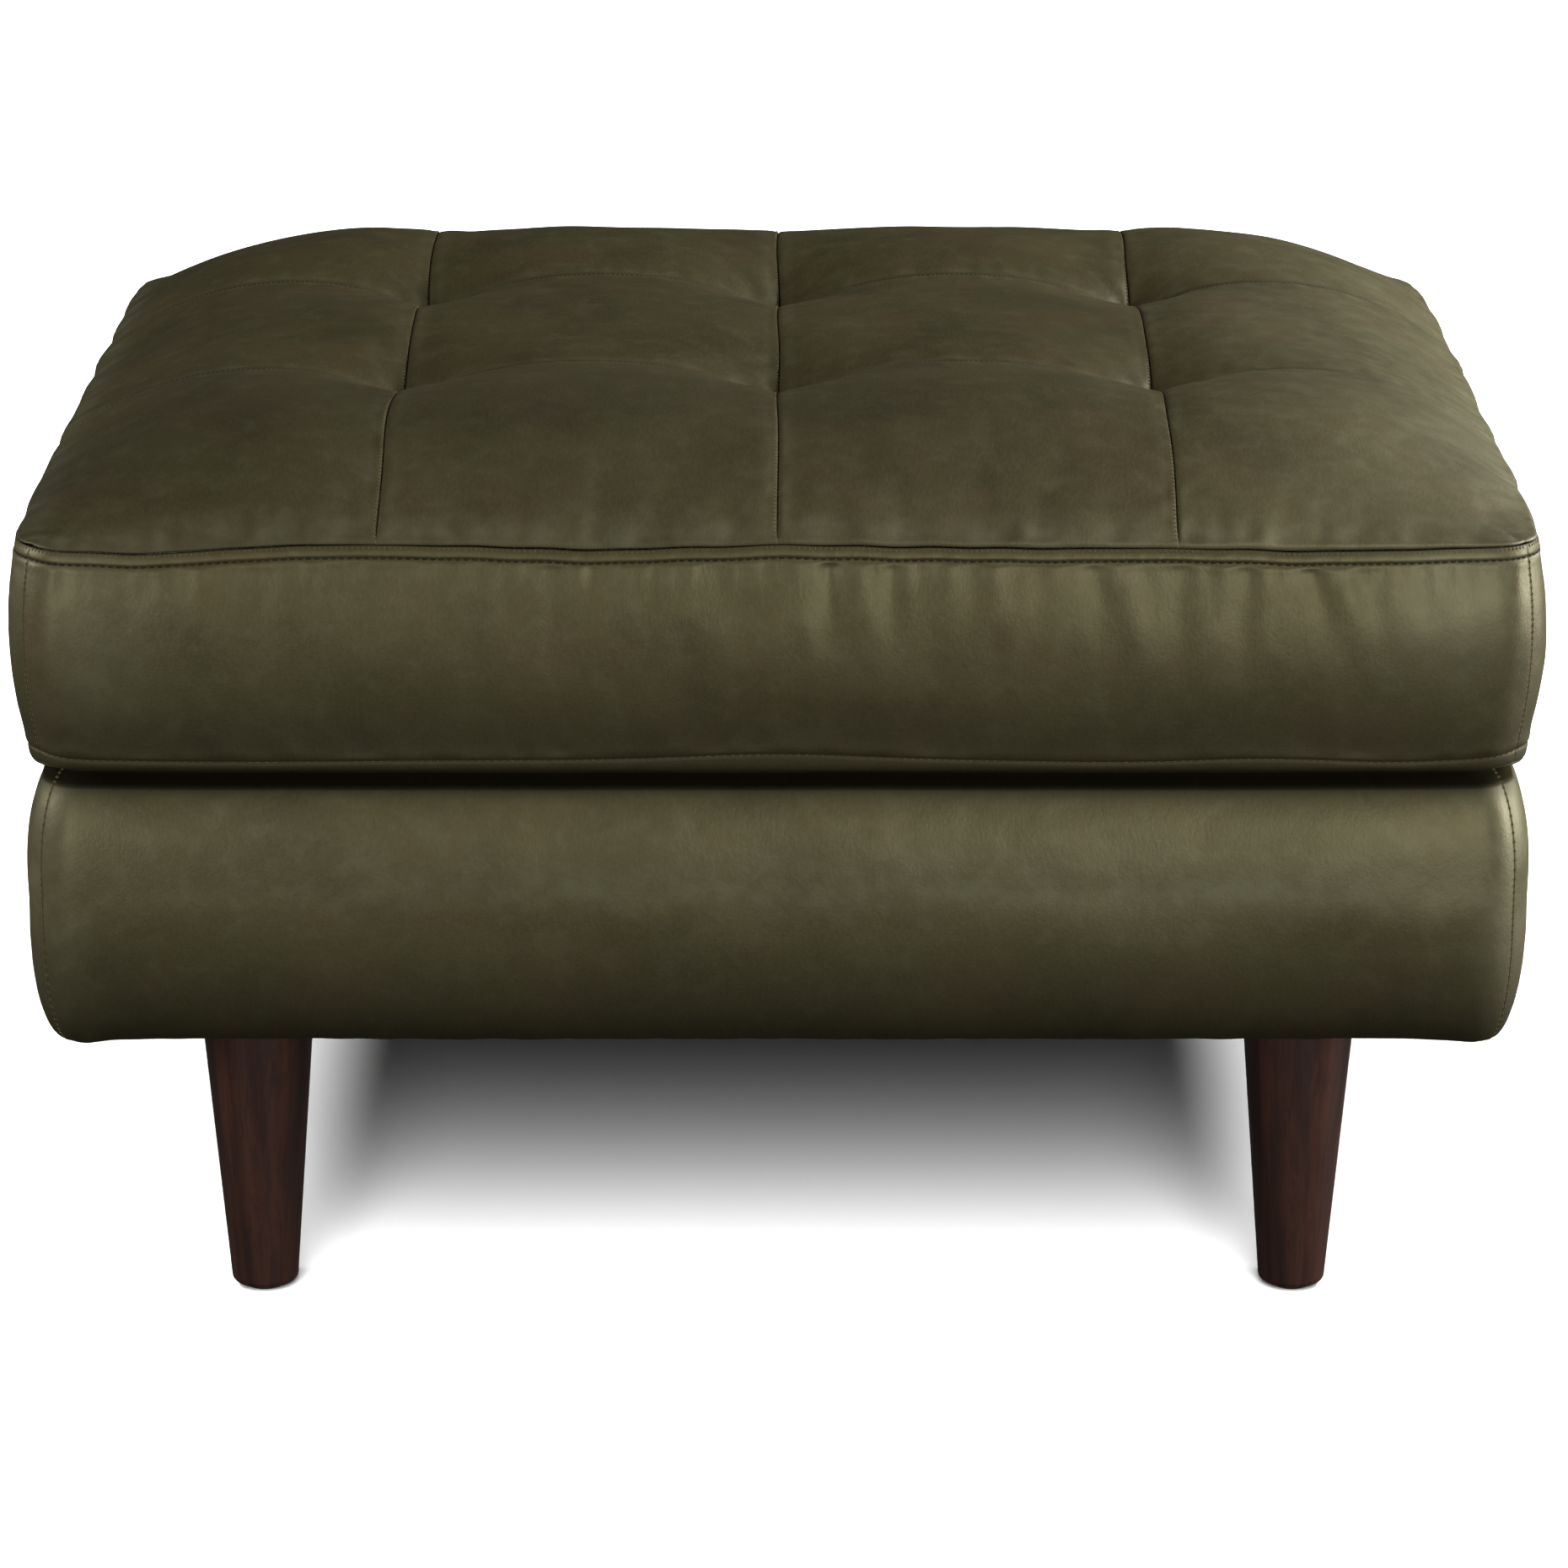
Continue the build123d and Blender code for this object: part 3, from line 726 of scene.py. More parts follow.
class ClothRelaxer:
    """Relaxes patches of cover as slightly oversized cloth under pressure, held at their seams."""

    frames: int = 20
    cap: float = 0.0035
    smoothings: int = 40
    settings = {"quality": 5, "mass": 0.25, "tension_stiffness": 20, "compression_stiffness": 20, "shear_stiffness": 8,
                "bending_stiffness": 0.6, "air_damping": 2, "vertex_group_mass": "pins", "shrink_min": -0.022,
                "use_pressure": True, "uniform_pressure_force": 3.0}

    def __init__(self) -> None:
        """Starts with no patches."""
        self.patches: dict = {}

    def relief(self, name: str, lines: tuple) -> Grid:
        """The patch's relief on other grid lines, 0 where the simulation was skipped.

        Args:
            name: The patch's name.
            lines: The wanted grid lines.

        Returns:
            Relief in metres.
        """
        patch = self.patches[name]
        if patch.relief is None:
            return np.zeros((len(lines[0]), len(lines[1])))
        return patch.share * resample(patch.relief, patch.lines, lines)

    def run(self) -> None:
        """Runs Blender's cloth on all the patches together and keeps how far each point moved off its surface."""
        parts, pinned, first = [], [], 0
        for patch in self.patches.values():
            index = grid_index(*patch.points.shape[:2])
            parts.append((patch.points, grid_faces(index)))
            pinned += [first + line for line in (index[0], index[-1], index[:, 0], index[:, -1])]
            first += index.size
        points, faces = joined(parts)
        obj = mesh_object("cloth_work", points, faces, bpy.data.materials.new("cloth_work"))
        obj.vertex_groups.new(name="pins").add(np.unique(np.concatenate(pinned)).tolist(), 1.0, "REPLACE")
        cloth = obj.modifiers.new("cloth", "CLOTH").settings
        for name, value in self.settings.items():
            setattr(cloth, name, value)
        cloth.effector_weights.gravity = 0
        scene = bpy.context.scene
        for number in range(1, self.frames + 1):
            scene.frame_set(number)
        moved = np.empty(len(points) * 3, np.float32)
        obj.evaluated_get(bpy.context.evaluated_depsgraph_get()).data.vertices.foreach_get("co", moved)
        moved = moved.reshape(-1, 3) - points
        scene.frame_set(1)
        bpy.data.objects.remove(obj)
        first = 0
        for name, patch in self.patches.items():
            count = patch.points[..., 0].size
            shift = moved[first : first + count].reshape(patch.points.shape)
            first += count
            self.keep(name, patch, (shift * normals_of(patch.points)).sum(-1))

    def keep(self, name: str, patch: Patch, relief: Grid) -> None:
        """Keeps a patch's relief without its broad swell, which is the relief averaged over its neighbours many times.

        Args:
            name: The patch's name.
            patch: The patch.
            relief: How far each point moved along its normal.
        """
        swell = relief
        for _ in range(self.smoothings):
            padded = np.pad(swell, 1, mode="edge")
            swell = (padded[2:, 1:-1] + padded[:-2, 1:-1] + padded[1:-1, 2:] + padded[1:-1, :-2]) / 4
        patch.relief = np.clip(relief - swell, -self.cap, self.cap)
        low, high = patch.relief.min() / MM, patch.relief.max() / MM
        LOG.info("cloth %s: swell %.1f mm, relief %.2f to %.2f mm", name, swell.max() / MM, low, high)


@dataclass(frozen=True)
class Stitch:
    """One kind of stitch: its pitch, length and thread radius in metres, and how it lies.

    It lies along its seam or across it, and stands off the leather by its lift, in radii.
    """

    pitch: float
    length: float
    radius: float
    across: bool = False
    lift: float = 0.0
    around: int = 6
    rings: tuple = ((-0.36, 0.75, -0.5), (0.0, 1.0, 0.0), (0.36, 0.75, -0.5))

    def threads(self, centre: Grid, along: Grid, normal: Grid) -> tuple:
        """Small rounded threads, one for each centre: a tip, three rings of points and a second tip.

        Args:
            centre: Middle of each stitch.
            along: Direction of each stitch.
            normal: The leather's normal at each stitch.

        Returns:
            Points and faces.
        """
        along = along / np.linalg.norm(along, axis=-1, keepdims=True)
        side = np.cross(normal, along)
        side /= np.maximum(np.linalg.norm(side, axis=-1, keepdims=True), 1e-12)
        axes = np.stack([along, side, np.cross(along, side)], 1)
        turns, local = np.arange(self.around) * 2 * math.pi / self.around, [(-0.5, 0.0, -1.0)]
        for x, size, sink in self.rings:
            local += [(x, size * math.cos(a), size * math.sin(a) + sink) for a in turns]
        local = np.array([*local, (0.5, 0.0, -1.0)]) * (self.length, self.radius, self.radius)
        index = grid_index(len(self.rings), self.around, 1)
        ring = np.concatenate([index, index[:, :1]], 1)
        first, last = np.zeros(self.around, int), np.full(self.around, len(local) - 1)
        tips = [*np.stack([first, ring[0, 1:], ring[0, :-1]], -1).tolist(),
                *np.stack([ring[-1, :-1], ring[-1, 1:], last], -1).tolist()]
        one = grid_faces(ring.T) + tips
        firsts = range(0, len(centre) * len(local), len(local))
        faces = [[number + start for number in face] for start in firsts for face in one]
        return (centre[:, None] + local @ axes).reshape(-1, 3), faces


@dataclass(frozen=True)
class Shape:
    """A finished surface: points, UV in metres over the hide, how dark each point is (its seams and painted shade) and
    how pale (worn places and painted highlights).
    """

    points: Grid
    uv: Grid
    seam: Grid
    wear: Grid

    def piece(self, name: str, finishes: Finishes) -> bpy.types.Object:
        """Makes a piece of cover leather from the surface, with its thickness on the inside.

        Args:
            name: The piece's name.
            finishes: The materials.

        Returns:
            The new object.
        """
        faces = grid_faces(grid_index(*self.points.shape[:2]))
        obj = mesh_object(name, self.points, faces, finishes.slots["olive_leather"])
        corner = np.empty(len(obj.data.loops), int)
        obj.data.loops.foreach_get("vertex_index", corner)
        uv = self.uv.reshape(-1, 2)[corner].astype(np.float32).ravel()
        obj.data.uv_layers.new(name="hide").data.foreach_set("uv", uv)
        # The seam layer carries painted shade too, and the other layer painted highlights as well as worn places.
        for label, values in (("seam", self.seam), ("wear", self.wear)):
            layer = obj.data.attributes.new(name=label, type="FLOAT", domain="POINT")
            layer.data.foreach_set("value", values.astype(np.float32).ravel())
        thicken(obj, LEATHER)
        return obj


@dataclass
class Cover:
    """Leather in panels that are relaxed as cloth, finished, settled and stitched.

    Each kind of cover names its panels and gives their grid lines, smooth surface, finished surface, record and
    flat size.
    """

    finishes: Finishes
    relaxer: ClothRelaxer
    body: str = "cushion"
    share: float = 0.12
    step: float = 0.0028
    cloth_step: float = 0.005

    def add_cloth(self) -> None:
        """Hands every panel to the cloth relaxer."""
        for panel, name in self.panels().items():
            lines = self.cloth_lines(panel)
            self.relaxer.patches[name] = Patch(lines, self.smooth_surface(panel, lines)[0], self.share)

    def build(self) -> list:
        """Makes and settles every panel, and gives back the new objects."""
        made = []
        for panel, name in self.panels().items():
            shape = self.surface(panel, self.panel_lines(panel))
            obj = shape.piece("leather_" + name, self.finishes)
            node, support, flat = self.record(panel, shape)
            settle(obj, self.body, node)
            made.append(obj)
        return made

    def stitch_row(self, panel: object, lines: tuple, kind: Stitch) -> tuple:
        """Stitches along the middle one of three grid lines that lie close together.

        Args:
            panel: Which panel.
            lines: Its two sets of grid lines, one of them of three lines.
            kind: The stitches' sizes.

        Returns:
            Points and faces.
        """
        points = self.surface(panel, lines).points
        axis = 0 if len(lines[0]) == len(NEAR) else 1
        first, middle, last = np.moveaxis(points, axis, 0)
        normal = np.moveaxis(normals_of(points), axis, 0)[1]
        along = last - first if kind.across else np.gradient(middle, axis=0)
        return kind.threads(middle + kind.lift * kind.radius * normal, along, normal)


@dataclass
class TuftedTop(Cover):
    """Twelve leather panels in four columns and three rows, pulled down where their seams cross.

    A panel is its column and its row, counted from 0 at the left and at the front.
    """

    share: float = 0.15
    pitches: tuple = (0.193, 0.206)
    counts: tuple = (4, 3)
    corner: float = 0.025
    edge_crown: float = 0.0006
    panel_crest: float = 0.046
    outer_panel_drop: float = 0.012
    outer_row_drop: float = 0.008
    outer_crest_share: float = 0.4
    seam_crest: float = 0.0415
    row_seam_crest: float = 0.042
    rear_seam_lift: float = 0.0020
    tuft_dip: float = 0.009
    tuft_reach: float = 0.016
    seam_fall: float = 0.0015
    seam_radius: float = 0.0030
    edge_radius: float = 0.0028
    edge_fall: float = 0.0014
    edge_reach: float = 0.03
    draw_reach: float = 0.014
    sway: tuple = (0.0005, 0.0010)
    sway_reach: float = 0.10
    crease: float = 0.0011
    relief_gap: float = 0.0045
    unevenness: float = 0.0004
    gather_size: float = 0.0005
    gather_peak: float = 0.006
    gather_reach: tuple = (0.016, 0.012)
    pucker_width: float = 0.0042
    stitch: Stitch = Stitch(0.0026, 0.0016, 0.00030, True, 0.6)
    stitch_beside: float = 0.0010
    stitch_end: float = 0.004
    pucker_spots: tuple = ((-0.064, 0.7), (-0.023, 0.6), (0.060, 0.9), (0.126, 1.0), (0.163, 0.8), (0.213, 1.1),
                           (0.263, 1.0))

    def panels(self) -> dict:
        """The panels' names, the same as their CAD nodes', row by row."""
        columns, rows = self.counts
        return {(k, m): f"top_panel_row{m + 1}_column{k + 1}" for m in range(rows) for k in range(columns)}

    def seams(self, axis: int) -> list:
        """Places of the seams in X (axis 0) or Y (axis 1), with the outer edges first and last."""
        pitch, count, size = self.pitches[axis], self.counts[axis], (TOP_WIDTH, TOP_DEPTH)[axis]
        return [-size / 2, *(pitch * (k - count / 2) for k in range(1, count)), size / 2]

    def bounds(self, panel: tuple) -> tuple:
        """Left, right, front and rear of a panel."""
        return tuple(self.seams(axis)[panel[axis] + end] for axis in (0, 1) for end in (0, 1))

    def panel_lines(self, panel: tuple) -> tuple:
        """Grid lines of a panel, crowded at its seams."""
        left, right, front, rear = self.bounds(panel)
        return seam_lines(left, right, self.step), seam_lines(front, rear, self.step)

    def cloth_lines(self, panel: tuple) -> tuple:
        """Even grid lines of a panel."""
        left, right, front, rear = self.bounds(panel)
        return even_lines(left, right, self.cloth_step), even_lines(front, rear, self.cloth_step)

    def record(self, panel: tuple, shape: Shape) -> tuple:
        """A panel's CAD node, the piece it rests on, and its flat size, measured along its finished surface."""
        flat = tuple(round(float(np.ptp(shape.uv[..., axis])), 3) for axis in (0, 1))
        return self.panels()[panel], "wadding_topper", flat

    def tufts(self) -> list:
        """Column and row number, X and Y of every tuft."""
        return [(k, m, x, y) for k, x in enumerate(self.seams(0)[1:-1]) for m, y in enumerate(self.seams(1)[1:-1])]

    def seam_rise(self, column: int, row: int, share: Grid) -> Grid:
        """Height of a column seam, or of a side edge, above the edge seam: an arch from tuft to tuft or edge.

        Args:
            column: The seam, 0 at the left edge.
            row: The row.
            share: Share of the way to the row's rear end.

        Returns:
            Heights in metres.
        """
        if column in (0, self.counts[0]):
            return np.zeros_like(share)
        rear = row == self.counts[1] - 1
        middle = self.seam_crest + self.rear_seam_lift * rear
        return arch(share, TUFT_HEIGHT * (row > 0), middle, TUFT_HEIGHT * (not rear))

    def crest_rise(self, column: int, row: int, share: Grid) -> Grid:
        """Height of a panel's crest above the edge seam: an arch from row seam to row seam or edge.

        Args:
            column: The panel's column.
            row: Its row.
            share: Share of the way to its rear end.

        Returns:
            Heights in metres.
        """
        outer, rear = column in (0, self.counts[0] - 1), row == self.counts[1] - 1
        row_crest = self.row_seam_crest - self.outer_row_drop * outer
        middle = self.panel_crest - self.outer_panel_drop * outer
        return self.edge_crown + arch(share, row_crest * (row > 0), middle, row_crest * (not rear))

    def base_height(self, panel: tuple, x: Grid, y: Grid) -> Grid:
        """Height of a panel above the edge seam: the circle through the left seam, the crest and the right seam.

        Args:
            panel: Which panel.
            x: X of the grid, in metres.
            y: Y of the grid, in metres.

        Returns:
            Heights in metres.
        """
        (column, row), (x1, x3, front, rear) = panel, self.bounds(panel)
        crest_share = {0: self.outer_crest_share, self.counts[0] - 1: 1 - self.outer_crest_share}.get(column, 0.5)
        x2 = x1 + crest_share * (x3 - x1)
        share = (y - front) / (rear - front)
        z1, z3 = self.seam_rise(column, row, share), self.seam_rise(column + 1, row, share)
        z2 = self.crest_rise(column, row, share)
        s1, s2, s3 = x1 * x1 + z1 * z1, x2 * x2 + z2 * z2, x3 * x3 + z3 * z3
        twice = 2 * (x1 * (z2 - z3) + x2 * (z3 - z1) + x3 * (z1 - z2))
        twice = np.where(np.abs(twice) < 1e-9, -1e-9, twice)
        cx = (s1 * (z2 - z3) + s2 * (z3 - z1) + s3 * (z1 - z2)) / twice
        cz = (s1 * (x3 - x2) + s2 * (x1 - x3) + s3 * (x2 - x1)) / twice
        radius2 = (x1 - cx) ** 2 + (z1 - cz) ** 2
        return cz + np.sqrt(np.maximum(radius2 - (x - cx) ** 2, 0))

    def tuft_shape(self, x: Grid, y: Grid) -> Grid:
        """Fall of the leather round each tuft: a pointed dip with a few soft creases running out of it.

        Args:
            x: X in metres.
            y: Y in metres.

        Returns:
            Heights to add in metres.
        """
        total = np.zeros_like(x)
        for k, m, at_x, at_y in self.tufts():
            away, angle = np.hypot(x - at_x, y - at_y), np.arctan2(y - at_y, x - at_x)
            crease = np.cos(8 * angle + 2.1 * k + m) + 0.6 * np.cos(5 * angle + 1.3 * m + k)
            reach = np.exp(-away / 0.022) * smooth_step(away, 0.004, 0.016)
            total += self.crease * crease * reach - self.tuft_dip * np.exp(-((away / self.tuft_reach) ** 1.25))
        return total

    def outward(self, x: Grid, y: Grid) -> tuple:
        """Plan direction out of the nearest edge, turning round the corners.

        Args:
            x: X in metres.
            y: Y in metres.

        Returns:
            X and Y of the direction.
        """
        dx = np.maximum(np.abs(x) - (TOP_WIDTH / 2 - self.corner), 0)
        dy = np.maximum(np.abs(y) - (TOP_DEPTH / 2 - self.corner), 0)
        size = np.maximum(np.hypot(dx, dy), 1e-9)
        return np.sign(x) * dx / size, np.sign(y) * dy / size

    def smooth_surface(self, panel: tuple, lines: tuple) -> tuple:
        """The panel before its details: crowned, sagging to the tufts, on the rounded outline.

        Args:
            panel: Which panel.
            lines: Grid lines in X and in Y, in metres.

        Returns:
            Points, and the flat X and Y of the grid.
        """
        x, y = np.meshgrid(*lines, indexing="ij")
        gap_x, gap_y = TOP_WIDTH / 2 - np.abs(x), TOP_DEPTH / 2 - np.abs(y)
        edge_gap = np.minimum(gap_x, gap_y)
        lift = LEATHER_CAD + self.base_height(panel, x, y) + self.tuft_shape(x, y)
        lift += edge_wave(x, y) * np.exp(-edge_gap / self.edge_reach)
        sway_x = self.sway[0] * smooth_step(gap_x, 0, self.sway_reach) * unevenness(x * 0.3, y, 31, 0.16, 0.07)
        sway_y = self.sway[1] * smooth_step(gap_y, 0, self.sway_reach) * unevenness(x, y * 0.3, 32, 0.18, 0.06)
        px, py = round_corners(x + sway_x, y + sway_y, TOP_WIDTH / 2, TOP_DEPTH / 2, self.corner)
        out_x, out_y = self.outward(x, y)
        drawn = edge_gather(px, py) * np.exp(-edge_gap / self.draw_reach)
        bow_x = CORNER_PULL * np.abs(2 * y / TOP_DEPTH) ** 8 * np.exp(-gap_x / self.edge_reach)
        bow_y = CORNER_PULL * np.abs(2 * x / TOP_WIDTH) ** 8 * np.exp(-gap_y / self.edge_reach)
        px = px - np.sign(x) * bow_x - drawn * out_x
        py = py - np.sign(y) * bow_y - drawn * out_y
        return np.stack([px, py, SEAM_Z + lift], -1), x, y

    def surface(self, panel: tuple, lines: tuple) -> Shape:
        """The finished panel: relaxed cloth, puckers at its seams, and edges rolled into the seams.

        Args:
            panel: Which panel.
            lines: Its two sets of grid lines, in metres.

        Returns:
            The surface.
        """
        points, x, y = self.smooth_surface(panel, lines)
        (column, row), (left, right, front, rear) = panel, self.bounds(panel)
        gaps = (x - left, right - x, y - front, rear - y)
        outer = (column == 0, column == self.counts[0] - 1, row == 0, row == self.counts[1] - 1)
        relief = self.relaxer.relief(self.panels()[panel], lines)
        relief += self.unevenness * unevenness(x, y, 41 + column + 7 * row, 0.11, 0.05)
        for number, (gap, run, is_outer) in enumerate(zip(gaps, (y, y, x, x), outer)):
            wave = ripple(run, 100 + 16 * column + 4 * row + number, 0.034, 0.011)
            relief += self.gather_size * wave * gather(gap, self.gather_peak, self.gather_reach[is_outer])
        if row == 0:
            relief += self.front_puckers(x, y - front)
        relief *= np.prod([1 - bell(gap, self.relief_gap) for gap in gaps], axis=0)
        points += normals_of(points) * relief[..., None]
        edge_gap = np.minimum(TOP_WIDTH / 2 - np.abs(x), TOP_DEPTH / 2 - np.abs(y))
        # The dark edge seam, and painted shade on the left, on the first row and round the tufts.
        seam = np.maximum(0.8 * bell(edge_gap, 0.0006), self.shade(x, y))
        # Painted highlight: the right-hand columns paler, as if lit from the right.
        wear = 0.6 * smooth_step(x, 0.14, 0.33)
        fade_and_width = ((0.005, 0.0010), (0.005, 0.0010), (0.012, 0.0022), (0.012, 0.0022))
        for gap, is_outer, (fade_width, width) in zip(gaps, outer, fade_and_width):
            if not is_outer:
                fade = 1 - bell(edge_gap, fade_width)
                points[..., 2] -= self.seam_fall * fade * tuck(gap, self.seam_radius)
                seam = np.maximum(seam, 0.9 * fade * bell(gap, width))
                # A pale band beside each inner seam: painted sheen as well as worn leather.
                wear = np.maximum(wear, 0.3 * fade * bell(gap - 0.0055, 0.003))
        out_x, out_y = self.outward(x, y)
        rolled = np.stack([SEAM_TUCK_IN * out_x, SEAM_TUCK_IN * out_y, np.full_like(x, self.edge_fall)], -1)
        points -= rolled * tuck(edge_gap, self.edge_radius)[..., None]
        # A pale, streaked band along the outer edge: streaked nap and a painted sheen on the rolled edge.
        brushed_and_sheen = 0.65 + 0.35 * ripple(np.where(np.abs(out_x) > 0.7, y, x), 43 + column + 5 * row, 0.05, 0.012)
        wear = np.maximum(wear, brushed_and_sheen * bell(edge_gap - 0.007, 0.009))
        uv = np.stack([arc_lengths(points, 0), arc_lengths(points, 1)], -1)
        uv += (0.31 * column + 0.17 * row + 0.05, 0.27 * row + 0.41 * column)
        return Shape(points, uv, seam, wear)

    def shade(self, x: Grid, y: Grid) -> Grid:
        """Painted shade: darker at the left, most of all on the first row, and in and just behind each tuft.

        Args:
            x: X in metres.
            y: Y in metres.

        Returns:
            Darkening, 0 to 1.
        """
        first_row = bell(y + TOP_DEPTH / 2 - 0.10, 0.07)
        left = 0.21 * (1 - smooth_step(x, 0.10, 0.26)) + 0.32 * first_row * (1 - smooth_step(x, 0.0, 0.30))
        spots = [0.7 * bell(np.hypot((x - at_x) / 1.3, y - at_y - 0.005), 0.010) for _, _, at_x, at_y in self.tufts()]
        return np.maximum.reduce([left, *spots])

    def front_puckers(self, x: Grid, gap: Grid) -> Grid:
        """Small gathers at the front edge, where the seam is drawn a little tight.

        Args:
            x: X in metres.
            gap: Distance from the front edge.

        Returns:
            Relief in metres.
        """
        total = bells(x, tuple((at, self.pucker_width, -size) for at, size in self.pucker_spots))
        return MM * total * bell(gap, 0.017) * smooth_step(gap, 0.0, 0.004)

    def stitch_rows(self) -> dict:
        """Stitches on the left and front shoulder of every inner seam of the top."""
        rows, end, pitch = [], self.stitch_end, self.stitch.pitch
        for panel in self.panels():
            left, right, front, rear = self.bounds(panel)
            beside_right = right - self.stitch_beside + NEAR, even_lines(front + end, rear - end, pitch)
            beside_rear = even_lines(left + end, right - end, pitch), rear - self.stitch_beside + NEAR
            for axis, lines in enumerate((beside_right, beside_rear)):
                if panel[axis] < self.counts[axis] - 1:
                    rows.append(self.stitch_row(panel, lines, self.stitch))
        return {"top_seam_thread": rows}


@dataclass
class CushionBoxing(Cover):
    """Four leather side panels of the cushion, swelled between the edge seam and the lower seam."""

    box: RoundedBox = RoundedBox(SEAT_WIDTH, SEAT_DEPTH, CUSHION_CORNER)
    height: float = SEAM_Z - CUSHION_BOTTOM
    top_inset: float = 0.005
    bottom_inset: float = 0.0075
    swell_share: float = 0.58
    strip: float = 0.0054
    lip: float = 0.0062
    bow: float = 0.0006
    unevenness: float = 0.0004
    groove: float = 0.0006
    groove_width: float = 0.0008
    ridge: float = 0.0003
    edge_roll: float = 0.0022
    edge_lift: float = 0.0005
    under_roll: float = 0.0030
    under_tuck: float = 0.0024
    corner_groove: float = 0.0002
    corner_groove_width: float = 0.0010
    flat_height: float = 0.124
    stitch_end: float = 0.003
    stitch_kinds: dict = field(default_factory=lambda: {
        "edge_seam_thread": Stitch(0.0026, 0.0016, 0.00026, True, 0.6),
        "top_stitch_thread": Stitch(0.0040, 0.0033, 0.00044, False, 0.6),
        "corner_seam_thread": Stitch(0.0032, 0.0020, 0.00032),
        "lip_thread": Stitch(0.0040, 0.0021, 0.00026, False, 0.6),
    })
    lip_lines: tuple = (0, 0.3, 0.8, 1.5, 2.3, 3.2, 4.0, 4.7, 5.2, 5.6, 5.9, 6.2, 6.5, 6.8, 7.2, 7.7, 8.4, 9.4, 10.8,
                        12.6)
    edge_lines: tuple = (0, 0.2, 0.5, 0.9, 1.4, 2.0, 2.7, 3.4, 4.0, 4.5, 4.9, 5.2, 5.4, 5.6, 5.9, 6.3, 6.8, 7.5, 8.5,
                         9.8, 11.2, 12.8)
    front_spots: tuple = ((-0.107, 0.8, 0.0), (0.026, 1.6, 0.02), (0.054, 0.8, 0.0), (0.070, 0.7, 0.0),
                          (0.156, 1.0, 0.05), (0.193, 0.9, 0.0), (0.226, 1.0, -0.04), (0.256, 1.3, 0.30),
                          (0.287, 1.0, 0.05), (-0.25, 0.5, 0.0))

    def panels(self) -> dict:
        """The panels' names by side."""
        return {side: "boxing_" + side.label for side in Side}

    def record(self, side: Side, shape: Shape) -> tuple:
        """A panel's CAD node, the piece it rests on, and its flat size."""
        flat = round(2 * self.box.half_length(side), 3), self.flat_height
        return "cushion_boxing_" + side.label, "foam_core", flat

    def panel_lines(self, side: Side) -> tuple:
        """Grid lines along a side, and in height, crowded at the lip, the top-stitch and the seams."""
        half, lip, edge = self.box.half_length(side), np.array(self.lip_lines) * MM, np.array(self.edge_lines) * MM
        middle = even_lines(lip[-1], self.height - edge[-1], self.step)[1:-1]
        return seam_lines(-half, half, self.step), np.concatenate([lip, middle, (self.height - edge)[::-1]])

    def cloth_lines(self, side: Side) -> tuple:
        """Even grid lines of the wall between the lip and the top-stitch."""
        return self.box.walks(side, self.cloth_step), even_lines(self.lip, self.height - self.strip, self.cloth_step)

    def inset(self, rise: Grid) -> Grid:
        """How far the wall is drawn in at a height: two parabolas that meet at the swell.

        Args:
            rise: Height above the cushion's underside.

        Returns:
            Inset in metres.
        """
        share = rise / self.height
        low = self.bottom_inset * np.maximum(1 - share / self.swell_share, 0) ** 2
        high = self.top_inset * np.maximum((share - self.swell_share) / (1 - self.swell_share), 0) ** 2
        return low + high

    def smooth_surface(self, side: Side, lines: tuple) -> tuple:
        """The wall before its details.

        Args:
            side: Which side.
            lines: Grid lines along the side, from its middle, and in height above the cushion's underside.

        Returns:
            Points, the flat grid, and the outward normal in plan.
        """
        walk, rise = np.meshgrid(*lines, indexing="ij")
        run, share = walk / self.box.half_length(side), rise / self.height
        flat = smooth_step(1 - np.abs(run), 0.0, 0.35)
        bow = self.bow * flat * np.sin(math.pi * np.clip(share, 0, 1)) * (1 + 0.5 * np.cos(3 * run + side.number))
        x, y, _, _ = self.box.place(side, walk, self.inset(rise))
        drawn = edge_gather(x, y) * smooth_step(share, 0.80, 0.99)
        x, y, out_x, out_y = self.box.place(side, walk, self.inset(rise) - bow + drawn)
        z = CUSHION_BOTTOM + rise + edge_wave(x, y) * smooth_step(share, 0.45, 0.97)
        z += lower_wave(x, y) * smooth_step(share, 0.0, 0.04) * (1 - smooth_step(share, 0.06, 0.5))
        return np.stack([x, y, z], -1), walk, rise, np.stack([out_x, out_y, np.zeros_like(out_x)], -1)

    def puckers(self, side: Side, walk: Grid, below: Grid) -> Grid:
        """Upright gathers under the top-stitch that fade on their way down: a dip with a ridge beside it.

        Args:
            side: Which side.
            walk: Distance along the side from its middle.
            below: Distance below the top-stitch.

        Returns:
            Relief in metres.
        """
        spots = self.front_spots
        if side is not Side.FRONT:
            rng, half = np.random.default_rng(300 + side.number), self.box.half_length(side) - 0.05
            spots = zip(rng.uniform(-half, half, 8), rng.uniform(0.5, 1.2, 8), rng.uniform(-0.1, 0.15, 8))
        total, width = np.zeros_like(walk), 0.0052 + 0.075 * np.maximum(below, 0)
        for at, size, lean in spots:
            off = walk - at - lean * below
            total -= 0.80 * size * (bell(off, width) - 0.45 * bell(off - 2.2 * width, width))
        return MM * total * bell(below, 0.050) * smooth_step(below, 0.0, 0.004)

